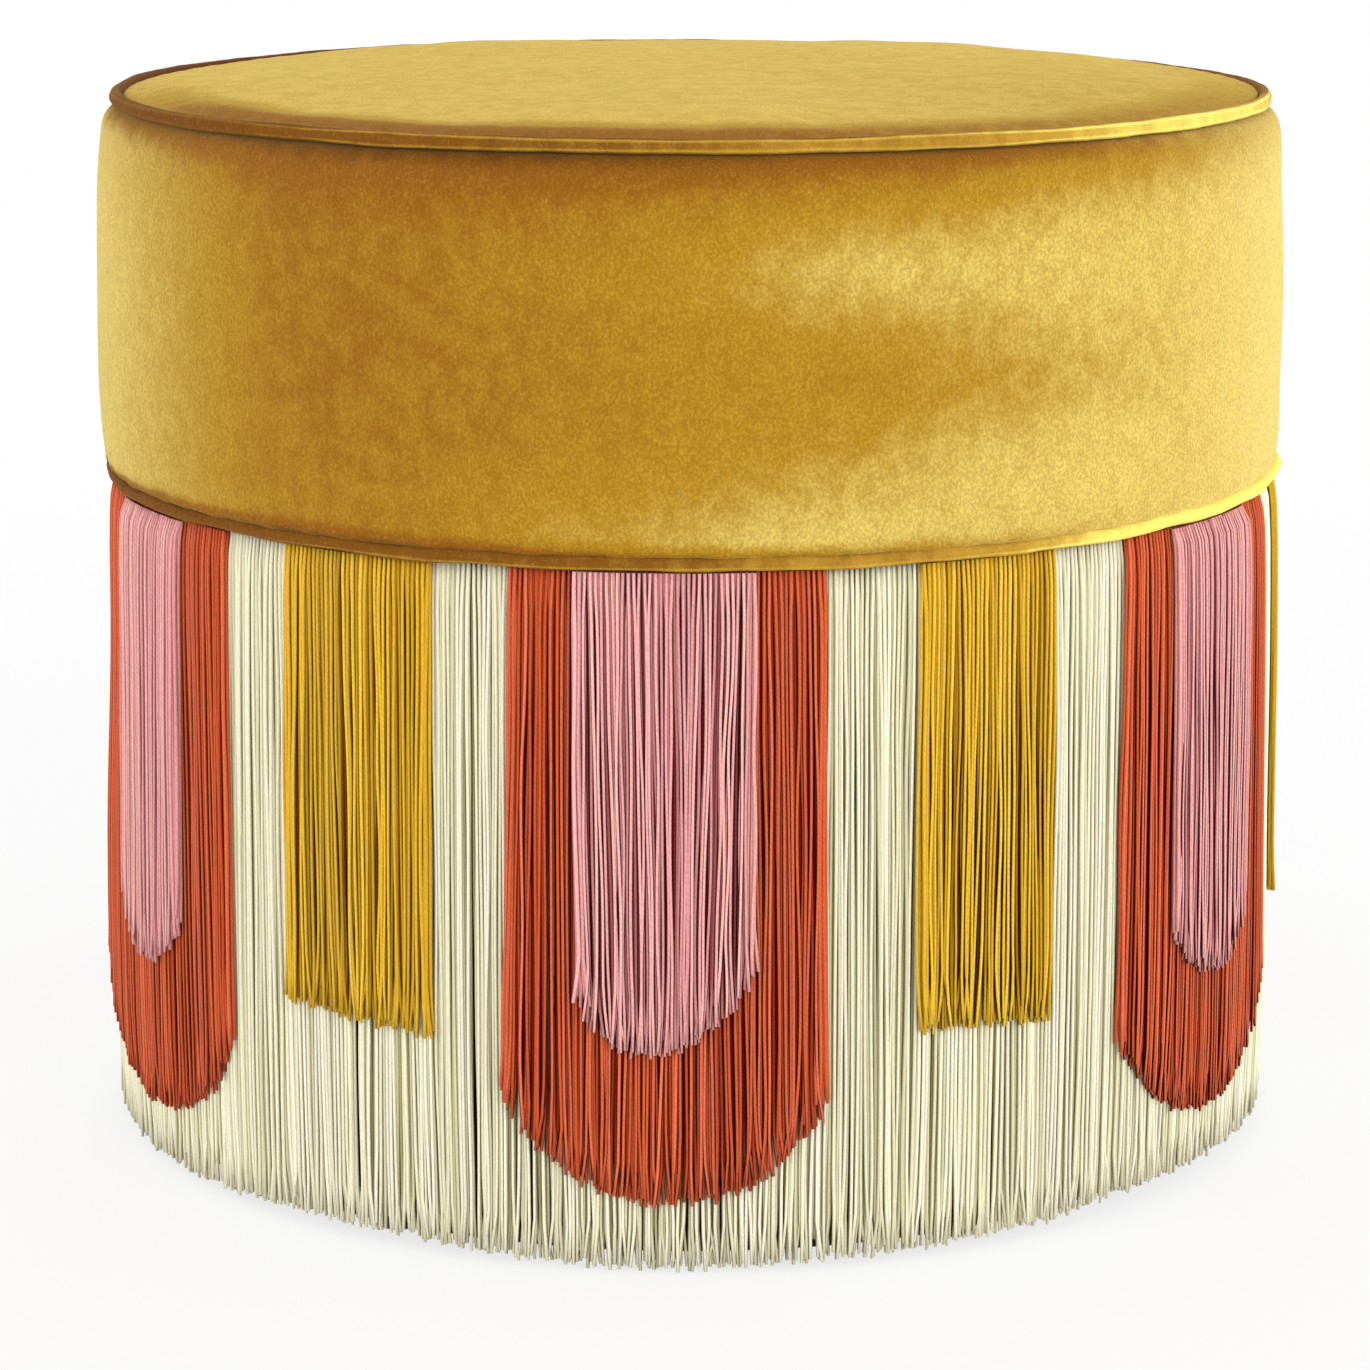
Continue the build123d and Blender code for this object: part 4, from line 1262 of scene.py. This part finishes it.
# Sideways: neat at the heading, then drifting, then bunched into tufts at the end
def swayCords(fringe, rng, cords):
    even = cords["even"]
    loose = cords["loose"]
    free = cords["free"]
    share = cords["share"]
    below = cords["below"]
    total = len(loose)
    follow = np.array(fringeSettings["rowFollow"])[cords["rows"]][:, None]
    settled = softStep(below / fringeSettings["neat"])
    sideways = (even[:, None] + (loose - even)[:, None] * settled) * (1.0 - fringe["gather"] * share)
    sway = softStep((below - fringeSettings["swayFrom"]) / fringeSettings["swayOver"])
    drift = sharedDrift(rng, loose, share, fringeSettings["bunches"], fringe["sway"])
    sideways = sideways + sway * follow * drift
    least, more = fringeSettings["wideShares"]
    spread = (least + more * free)[:, None]
    drift = sharedDrift(rng, loose, share, fringeSettings["wideBunches"], fringeSettings["wideSway"])
    sideways = sideways + sway * share * spread * drift
    ends = softStep(1.0 - cords["toEnd"] / fringeSettings["tuft"])
    drift = sharedDrift(rng, loose, share, fringeSettings["tuftBunches"], fringe["tuftPull"])
    sideways = sideways + ends * follow * drift

    # each cord's own wander, a loose end, and now and then a stray
    waves = rng.uniform(*fringeSettings["wanderWaves"], total)[:, None]
    phases = rng.uniform(0.0, 2.0 * math.pi, total)[:, None]
    wander = (rng.uniform(*fringeSettings["wander"], total) * free)[:, None]
    sideways = sideways + wander * sway * np.sin(2.0 * math.pi * waves * share + phases)
    sideways = sideways + rng.normal(0.0, fringeSettings["flickSide"], total)[:, None] * cords["flick"]
    strays = rng.random(total) < fringeSettings["strayShare"]
    stray = strays * rng.normal(0.0, fringeSettings["stray"], total) * free
    strayFrom = fringeSettings["strayFrom"]
    return sideways + stray[:, None] * softStep((share - strayFrom) / (1.0 - strayFrom))


# Outwards: the rows lie behind each other, and the skirt stands off a little further down
def standCords(rng, cords, inner, outer):
    thick = fringeSettings["thick"]
    below = cords["below"]
    total = len(below)
    slack = fringeSettings["rowSlack"]
    rowRadii = np.linspace(outer - thick, inner + thick, 3)[cords["rows"]] + rng.uniform(-slack, slack, total)
    stand = np.interp(below, fringeSettings["standDepth"], fringeSettings["standOut"])
    high = readTable(standRoundHigh, cords["degrees"], 360.0)[:, None]
    low = readTable(standRound, cords["degrees"], 360.0)[:, None]
    lower = softStep((below - fringeSettings["standFrom"]) / fringeSettings["standOver"])
    stand = stand * (high + (low - high) * lower)
    outwards = np.minimum(rowRadii[:, None] + stand, lowWeltHigh.x - fringeSettings["underWelt"] + below)
    return outwards + rng.normal(0.0, fringeSettings["flickOut"], total)[:, None] * cords["flick"]


# Painted shade: rows behind are darker, but not at their ends, and the gaps beside a cord are painted darker
# further down, less on the left as painted light from that side
def shadeCords(fringe, rng, cords, width):
    rows = cords["rows"]
    total = len(rows)
    atTip = softStep(1.0 - cords["toEnd"] / fringeSettings["endReach"])
    shade = np.array(fringeSettings["rowShade"])[rows] + rng.normal(0.0, fringeSettings["shadeSpread"], total)
    paler = (rng.random(total) < fringeSettings["palerShare"]) * (rows == 0)
    shade = np.clip(shade + fringeSettings["paler"] * paler, 0.0, 1.0)[:, None]
    shade = shade + np.maximum(fringeSettings["endShade"] - shade, 0.0) * atTip
    topGap, leftGap, frontGap, rightGap = fringe["gaps"]
    deeper = softStep(cords["below"] / fringeSettings["deepGapOver"])
    gap = topGap + (fringeSettings["deepGap"] - topGap) * deeper - fringeSettings["endGap"] * atTip
    roundGaps = [frontGap, leftGap, leftGap, frontGap, frontGap, rightGap, rightGap, frontGap]
    gap = gap * np.interp(halfTurn(cords["degrees"]), fringeSettings["gapDegrees"], roundGaps)[:, None]
    border = width / 2.0 - fringeSettings["borderCords"] * fringeSettings["rowPitch"][0]
    atBorder = (np.abs(cords["even"]) > border)[:, None]
    shade = np.where(atBorder, np.maximum(shade, fringeSettings["borderShade"]), shade)
    gap = np.where(atBorder, fringeSettings["borderGap"] * gap, gap)
    return shade, gap


# Cords of one panel: their middles (cord, step, across / outwards / height), and painted shade of the cord and
# of the gaps beside it at each step
def hangCords(fringe, cut, rng, facing, width, inner, outer, topZ, lowZ):
    cords = placeCords(fringe, rng, width)
    cords["degrees"] = np.degrees(facing + cords["loose"] / inner)
    lengths = cutCords(fringe, cut, rng, cords, width, topZ - lowZ)[:, None]
    evenly, growing = fringeSettings["stepShares"]
    share = np.linspace(0.0, 1.0, fringeSettings["steps"])[None, :]
    cords["share"] = evenly * share + growing * share ** 3     # closer together under the welt
    cords["below"] = lengths * cords["share"]
    cords["toEnd"] = lengths - cords["below"]
    cords["flick"] = softStep(1.0 - cords["toEnd"] / fringeSettings["flick"]) ** fringeSettings["flickCurve"]
    sideways = swayCords(fringe, rng, cords)
    outwards = standCords(rng, cords, inner, outer)
    shade, gap = shadeCords(fringe, rng, cords, width)
    return np.stack([sideways, outwards, topZ - cords["below"]], axis=2), shade, gap


# Bake map of a panel: a column for each cord, then a few columns of tiles for the caps and the heading
bakeSettings = {
    "cordStart": 0.06,         # a cord's start and width in its column
    "cordWidth": 0.88,
    "low": 0.03,
    "tall": 0.94,
    "spareColumns": 12.0,
    "tilesAcross": 8,
    "tileStart": 0.1,
    "tileWidth": 0.8,
}


def spareTiles(spare, total):
    across = bakeSettings["tilesAcross"]
    columns = total + bakeSettings["spareColumns"]
    corner = np.array([[0.0, 0.0], [1.0, 0.0], [1.0, 1.0], [0.0, 1.0]])
    tile = np.stack([np.arange(spare) % across, np.arange(spare) // across], axis=1)[:, None, :]
    tiles = tile + bakeSettings["tileStart"] + bakeSettings["tileWidth"] * corner
    tiles = tiles / np.array([float(across), spare // across + 1.0])
    size = np.array([(bakeSettings["spareColumns"] - 2.0) / columns, bakeSettings["tall"]])
    return tiles * size + np.array([(total + 1.0) / columns, bakeSettings["low"]])


# Turns the cords' middles into tubes, with the two maps and the three values that the yarn needs
def cordTubes(name, rng, middles, shade, gap, facing, base, extraPoints, extraQuads):
    total, steps, _ = middles.shape
    sides = fringeSettings["sides"]
    ring = fullTurn(sides)
    girth = fringeSettings["thick"] * rng.uniform(*fringeSettings["girths"], total)[:, None]
    girth = np.repeat(girth, steps, axis=1)
    girth[:, -1] *= fringeSettings["endGirth"]
    across = middles[:, :, 0, None] + girth[:, :, None] * np.cos(ring)
    outwards = middles[:, :, 1, None] + girth[:, :, None] * np.sin(ring)
    heights = np.repeat(middles[:, :, 2, None], sides, axis=2)
    points = aboutAxis(outwards, facing + across / base, heights).reshape(-1, 3)

    cord, step, side = np.meshgrid(np.arange(total), np.arange(steps - 1), np.arange(sides), indexing="ij")
    nextSide = (side + 1) % sides
    start = (cord * steps + step) * sides
    walls = np.stack([start + side, start + nextSide, start + sides + nextSide, start + sides + side], axis=3)
    walls = walls.reshape(-1, 4)
    first = np.arange(total) * steps * sides
    last = first + (steps - 1) * sides
    caps = []
    for corner in range(1, sides - 2, 2):
        caps.append(np.stack([first + corner + 2, first + corner + 1, first + corner, first], axis=1))
        caps.append(np.stack([last, last + corner, last + corner + 1, last + corner + 2], axis=1))
    caps = np.concatenate(caps)
    quads = np.concatenate([walls, caps, extraQuads + len(points)])
    mesh = quadMesh(name, np.concatenate([points, extraPoints]), quads)

    # u goes round the cord, and v counts the turns of its plies
    leftSide = side / sides
    turns = (middles[:, :1, 2] - middles[:, :, 2]) / fringeSettings["twist"]
    turns = turns + rng.uniform(0.0, 1.0, total)[:, None]
    around = np.stack([leftSide, leftSide + 1.0 / sides, leftSide + 1.0 / sides, leftSide], axis=3)
    upper = turns[cord, step]
    lower = turns[cord, step + 1]
    along = np.stack([upper, upper, lower, lower], axis=3)
    twistMap = np.stack([around, along], axis=4).reshape(-1, 4, 2)
    columns = cord[..., None] + bakeSettings["cordStart"] + bakeSettings["cordWidth"] * around
    columns = columns / (total + bakeSettings["spareColumns"])
    downCord = np.stack([step, step, step + 1, step + 1], axis=3) / (steps - 1)
    downMap = bakeSettings["low"] + bakeSettings["tall"] * downCord
    bakeMap = np.stack([columns, downMap], axis=4).reshape(-1, 4, 2)
    spare = len(quads) - len(walls)
    setCornerMap(mesh, "OFBake", np.concatenate([bakeMap, spareTiles(spare, total)]))
    setCornerMap(mesh, "strandUv", np.concatenate([twistMap, np.full((spare, 4, 2), 0.25)]))

    # values of the yarn: painted shade of the cord and of the gaps beside it, and its tint, each with the one
    # that the heading gets
    tint = np.repeat(rng.random(total)[:, None], steps, axis=1)
    for value, perStep, onHeading in (
        ("strandShade", shade, 0.5),
        ("strandGapShade", gap, 0.0),
        ("strandTint", tint, 0.5),
    ):
        perPoint = np.repeat(perStep.ravel(), sides)
        setPointValue(mesh, value, np.concatenate([perPoint, np.full(len(extraPoints), onHeading)]))
    return mesh


# Woven heading in the middle of the rows of cords, a thin closed strip
def headingStrip(facing, halfWidth, radius, topZ):
    count = fringeSettings["headingSteps"]
    turn = facing + np.linspace(-halfWidth, halfWidth, count)
    outer = radius + fringeSettings["headingCloth"] / 2.0
    inner = radius - fringeSettings["headingCloth"] / 2.0
    highZ = topZ - fringeSettings["headingDrop"]
    lowZ = topZ - fringeSettings["heading"]
    rings = []
    for reach, height in ((outer, highZ), (outer, lowZ), (inner, lowZ), (inner, highZ)):
        rings.append(aboutAxis(reach, turn, np.full(count, height)))
    points = np.stack(rings, axis=1).reshape(-1, 3)
    at = np.arange(count - 1) * 4
    quads = []
    for edge in range(4):
        nextEdge = (edge + 1) % 4
        quads.append(np.stack([at + edge, at + nextEdge, at + 4 + nextEdge, at + 4 + edge], axis=1))
    quads.append(np.array([[3, 2, 1, 0], [(count - 1) * 4 + edge for edge in range(4)]]))
    return points, np.concatenate(quads)


# One panel, hung where its solid hangs
def makePanel(name, fringe, number):
    node = name + "_fringe_" + str(number)
    rng = np.random.default_rng(fringe["seed"] + number)
    solid = meshPoints(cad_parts[node].data)
    facing = math.atan2(solid[:, 0].mean(), -solid[:, 1].mean())
    turn = np.arctan2(solid[:, 0], -solid[:, 1]) - facing
    turn = (turn + math.pi) % (2.0 * math.pi) - math.pi
    reach = np.hypot(solid[:, 0], solid[:, 1])
    base = reach.min()
    shift, wider = sewnOff.get(node, (0.0, 0.0))
    facing += shift / base
    width = 2.0 * np.abs(turn).max() * base + wider
    topZ = solid[:, 2].max()
    cut = cutOff.get(node, (0.0, 0.0, 0.0))
    cords = hangCords(fringe, cut, rng, facing, width, base, reach.max(), topZ, solid[:, 2].min())
    halfWidth = width / base / 2.0 - fringeSettings["headingInset"]
    strip = headingStrip(facing, halfWidth, (base + reach.max()) / 2.0, topZ)
    mesh = cordTubes(name + "Fringe" + str(number), rng, *cords, facing, base, *strip)
    return standIn(mesh, node, yarns[name])


for name, fringe in fringes.items():
    for number in range(1, fringeSettings["panels"] + 1):
        makePanel(name, fringe, number)
    print(name, "fringe hung")


# Black cloth over the plinth, and the dust cover under it
plinthSettings = {
    "around": 240,
    "cloth": 0.001,
    "hem": 0.033,
    "slack": ((3, 5, 8, 13), 0.00012),
    "seed": 31,
}
dustSettings = {
    "around": 240,
    "flat": 0.186,             # felt that lies against the ring starts here
    "sag": 0.0022,
    "sagOver": 0.09,
    "middle": 0.06,            # ripples fade out towards the middle
    "ripple": ((5, 7, 9, 18), 0.0005),
    "seed": 32,
}


def makePlinthCloth():
    rng = np.random.default_rng(plinthSettings["seed"])
    around = plinthSettings["around"]
    low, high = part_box("plinth_cloth")
    cloth = plinthSettings["cloth"]
    outer = joinLines(
        straightLine((high.x, high.z), (high.x, low.z), 30),
        straightLine((high.x, low.z), (high.x - plinthSettings["hem"], low.z), 6),
    )
    inner = joinLines(
        straightLine((high.x - cloth, high.z), (high.x - cloth, low.z + cloth), 30),
        straightLine((high.x - cloth, low.z + cloth), (high.x - plinthSettings["hem"], low.z + cloth), 6),
    )
    radii, heights = roundAbout(np.concatenate([outer, inner[::-1]]), around)
    upShare = np.clip((heights - low.z) / (high.z - low.z), 0.0, 1.0)
    slack = np.sin(math.pi * upShare) * (radii > high.x - 0.5 * cloth)
    radii = radii - np.abs(slack * rimRipple(rng, around, *plinthSettings["slack"]))
    mesh = turnedMesh("plinthCloth", [(radii[::-1], heights[::-1])])
    return standIn(mesh, "plinth_cloth", blackCloth)


def makeDustCover():
    rng = np.random.default_rng(dustSettings["seed"])
    around = dustSettings["around"]
    low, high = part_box("dust_cover")
    free = np.linspace(0.0, dustSettings["flat"], 30)
    held = np.linspace(dustSettings["flat"], high.x, 12)[1:]
    outwards = np.concatenate([free, held])
    outline = np.concatenate([
        np.stack([outwards[::-1], np.full(len(outwards), low.z)], axis=1),
        np.stack([outwards, np.full(len(outwards), high.z)], axis=1),
    ])
    radii, heights = roundAbout(outline, around)
    hang = softStep((dustSettings["flat"] - radii) / dustSettings["sagOver"])
    heights = heights - dustSettings["sag"] * hang
    rippled = hang * softStep(radii / dustSettings["middle"])
    heights = heights + rippled * rimRipple(rng, around, *dustSettings["ripple"])
    mesh = turnedMesh("dustCover", [(radii[::-1], heights[::-1])])
    return standIn(mesh, "dust_cover", dustFelt)


plinthCloth = makePlinthCloth()
dustCover = makeDustCover()
print("plinth cloth and dust cover made")


# Inside of the seat: foam, wadding and the welts' cords
insideSettings = {
    "around": 192,
    "foamRound": 0.006,
    "foamSoften": 0.0015,
    "gap": 0.0003,
    "waves": (5, 9, 14, 23),   # uneven sides, from this radius outwards
    "unevenFrom": 0.05,
}


def makeBlock(name, node, material, seed, uneven, outline):
    rng = np.random.default_rng(seed)
    radii, heights = roundAbout(outline, insideSettings["around"])
    ripple = rimRipple(rng, insideSettings["around"], insideSettings["waves"], uneven)
    cutIn = np.abs(ripple) * (radii > insideSettings["unevenFrom"])
    radii = np.where(radii > 0.0, np.maximum(radii - cutIn, 0.0), 0.0)
    return standIn(turnedMesh(name, [(radii, heights)]), node, material)


def softEdge(radius, z, upward):
    soft = insideSettings["foamSoften"]
    if upward:
        return arcLine((radius - soft, z - soft), soft, 0.0, 90.0, 4)
    return arcLine((radius - soft, z + soft), soft, -90.0, 0.0, 4)


foamLow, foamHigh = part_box("seat_foam")
foamRadius = foamHigh.x
foamFlat = foamRadius - insideSettings["foamSoften"]
seatFoam = makeBlock("seatFoam", "seat_foam", foamCells, 41, 0.0003, joinLines(
    straightLine((0.0, foamLow.z), (foamFlat, foamLow.z), 14),
    softEdge(foamRadius, foamLow.z, False),
    softEdge(foamRadius, foamHigh.z, True),
    straightLine((foamFlat, foamHigh.z), (0.0, foamHigh.z), 14),
))

topFoamLow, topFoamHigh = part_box("top_foam")
foamEdge = topFoamHigh.z - seatSettings["crownRise"]
foamTurn = foamRadius - insideSettings["foamRound"]
topFoam = makeBlock("topFoam", "top_foam", foamCells, 42, 0.0003, joinLines(
    straightLine((0.0, topFoamLow.z), (foamFlat, topFoamLow.z), 14),
    softEdge(foamRadius, topFoamLow.z, False),
    arcLine((foamTurn, foamEdge - insideSettings["foamRound"]), insideSettings["foamRound"], 0.0, 90.0, 10),
    straightLine((foamTurn, foamEdge), (seamRadius, foamEdge), 2),
    crownLine(foamEdge, 40)[::-1],
))

waddingLow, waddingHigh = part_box("top_wadding")
waddingEdge = waddingHigh.z - seatSettings["crownRise"]
topWadding = makeBlock("topWadding", "top_wadding", waddingFibre, 43, 0.0004, joinLines(
    crownLine(waddingLow.z, 40),
    straightLine((seamRadius, waddingLow.z), (seamRadius, waddingEdge), 3),
    crownLine(waddingEdge, 40)[::-1],
))

bandInset = seatSettings["cloth"] + insideSettings["gap"]
bandBore = foamRadius + insideSettings["gap"]
sideWadding = makeBlock("sideWadding", "side_wadding", waddingFibre, 44, 0.0003, joinLines(
    bowedLine(
        (seatRadius - seatSettings["tuckTaper"] - bandInset, tuckZ),
        (seatRadius - bandInset, tuckZ + seatSettings["widestRise"]),
        (seatRadius - seatSettings["sideTaper"] - bandInset, shoulderZ),
        30,
    ),
    straightLine((bandBore, shoulderZ), (bandBore, tuckZ), 12),
))


# A three-strand cotton cord laid in a ring
cordSettings = {
    "around": 720,
    "sides": 18,
    "strands": 3.0,
    "turns": 90.0,             # turns of the lay in one ring
    "girth": 0.93,             # mean girth and depth of the lay, as shares of the cord's radius
    "layDepth": 0.07,
}


def makeWeltCord(name, node):
    low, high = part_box(node)
    radius = (high.z - low.z) / 2.0
    turn = fullTurn(cordSettings["around"])
    ring = fullTurn(cordSettings["sides"])
    lay = np.cos(cordSettings["strands"] * (ring[:, None] - cordSettings["turns"] * turn[None, :]))
    girth = radius * (cordSettings["girth"] + cordSettings["layDepth"] * lay)
    radii = high.x - radius + girth * np.cos(ring)[:, None]
    heights = low.z + radius + girth * np.sin(ring)[:, None]
    standIn(turnedMesh(name, [(radii, heights)]), node, cottonCord)


makeWeltCord("topWeltCord", "top_welt_cord")
makeWeltCord("bottomWeltCord", "bottom_welt_cord")
print("foam, wadding and welt cords made")


# Hard pieces keep their CAD shape and take a finish
finishes = {
    "seat_board": plywood,
    "base_ring": plywood,
    "plinth_top_ring": plywood,
    "plinth_post": pineTimber,
    "plinth_wrap": bentHardboard,
    "glide_nails": zincSteel,
    "glide": glidePlastic,
    "plinth_screws": zincSteel,
    "staples": zincSteel,
    "seat_bolts": zincSteel,
    "seat_washers": zincSteel,
    "flanged_nuts": zincSteel,
}
for node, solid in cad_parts.items():
    kind = node.rstrip("0123456789").rstrip("_")
    if kind not in finishes:
        continue
    for materialSlot in solid.material_slots:
        materialSlot.material = finishes[kind]
print("hard pieces finished")


# Floor, lights and camera
stageSettings = {
    "floorSize": 30.0,
    "floorTone": (0.86, 0.86, 0.86, 1.0),
    "floorRoughness": 0.9,
    "white": (1.0, 1.0, 1.0, 1.0),
    "shadowNear": 0.55,        # the shadow fades out between these distances
    "shadowFar": 1.7,
    "shadowShare": 0.24,
    "daylight": 0.55,
    "aimZ": 0.25,              # lamps point at the middle of the pouf
}
lamps = {
    "keySoftbox": {"at": (1.6, -2.1, 1.05), "size": 1.5, "power": 34.0},
    "leftFill": {"at": (-1.9, -1.9, 0.85), "size": 1.6, "power": 25.0},
    "rightRim": {"at": (2.3, 0.4, 0.9), "size": 1.4, "power": 20.0},
    "leftRim": {"at": (-2.3, 0.4, 0.9), "size": 1.4, "power": 14.0},
    "backTop": {"at": (0.0, 1.2, 2.2), "size": 1.6, "power": 14.0},
}
cameraSettings = {
    "sensor": 36.0,
    "lens": 109.76,
    "shiftX": -0.0042,
    "distance": 1.7738,
    "height": 0.5867,
    "round": 2.16,             # degrees to the right of the front, and down
    "down": 12.967,
}


# 1 for what is looked at, straight or in a reflection, and 0 for light that falls on the pouf
def seenNode(tree):
    path = tree.nodes.new("ShaderNodeLightPath")
    seen = mathNode(tree, "MAXIMUM", path.outputs["Is Camera Ray"], path.outputs["Is Glossy Ray"])
    return mathNode(tree, "MAXIMUM", seen, path.outputs["Is Transmission Ray"])


def blendShaders(tree, share, first, second, output):
    blend = tree.nodes.new("ShaderNodeMixShader")
    for target, source in zip(blend.inputs, (share, first.outputs[0], second.outputs[0])):
        tree.links.new(source, target)
    tree.links.new(blend.outputs[0], tree.nodes[output].inputs["Surface"])


def makeFloor():
    material, tree, shader = startMaterial("paleFloor")
    shader.inputs["Base Color"].default_value = stageSettings["floorTone"]
    shader.inputs["Roughness"].default_value = stageSettings["floorRoughness"]
    white = tree.nodes.new("ShaderNodeEmission")
    white.inputs["Color"].default_value = stageSettings["white"]
    white.inputs["Strength"].default_value = 1.0
    length = tree.nodes.new("ShaderNodeVectorMath")
    length.operation = "LENGTH"
    tree.links.new(placeNode(tree), length.inputs[0])
    away = rangeNode(tree, length.outputs["Value"], stageSettings["shadowNear"], stageSettings["shadowFar"],
                     1.0 - stageSettings["shadowShare"], 1.0)
    whiter = mathNode(tree, "MULTIPLY", seenNode(tree), away)
    blendShaders(tree, whiter, shader, white, "Material Output")
    half = stageSettings["floorSize"] / 2.0
    corners = [(-half, -half, 0.0), (half, -half, 0.0), (half, half, 0.0), (-half, half, 0.0)]
    mesh = bpy.data.meshes.new("floor")
    mesh.from_pydata(corners, [], [(0, 1, 2, 3)])
    mesh.materials.append(material)
    floor = bpy.data.objects.new("floor", mesh)
    bpy.context.scene.collection.objects.link(floor)


def makeWorld():
    world = bpy.data.worlds.new("studio")
    bpy.context.scene.world = world
    world.use_nodes = True
    tree = world.node_tree
    soft = tree.nodes["Background"]
    soft.inputs["Color"].default_value = stageSettings["white"]
    soft.inputs["Strength"].default_value = stageSettings["daylight"]
    white = tree.nodes.new("ShaderNodeBackground")
    white.inputs["Color"].default_value = stageSettings["white"]
    white.inputs["Strength"].default_value = 1.0
    blendShaders(tree, seenNode(tree), soft, white, "World Output")


def makeLamps():
    for name, lamp in lamps.items():
        light = bpy.data.lights.new(name, "AREA")
        light.size = lamp["size"]
        light.energy = lamp["power"]
        holder = bpy.data.objects.new(name, light)
        bpy.context.scene.collection.objects.link(holder)
        holder.location = lamp["at"]
        x, y, z = lamp["at"]
        tilt = math.atan2(math.hypot(x, y), z - stageSettings["aimZ"])
        holder.rotation_euler = (tilt, 0.0, math.atan2(x, -y))


def makeCamera():
    data = bpy.data.cameras.new("photoCamera")
    data.lens = cameraSettings["lens"]
    data.sensor_width = cameraSettings["sensor"]
    data.shift_x = cameraSettings["shiftX"]
    camera = bpy.data.objects.new("photoCamera", data)
    bpy.context.scene.collection.objects.link(camera)
    turn = math.radians(cameraSettings["round"])
    distance = cameraSettings["distance"]
    camera.location = (distance * math.sin(turn), -distance * math.cos(turn), cameraSettings["height"])
    camera.rotation_euler = (math.radians(90.0 - cameraSettings["down"]), 0.0, turn)
    bpy.context.scene.camera = camera


makeFloor()
makeWorld()
makeLamps()
makeCamera()
bpy.context.scene.view_settings.view_transform = "Standard"
print("stage set")

bpy.context.view_layer.update()
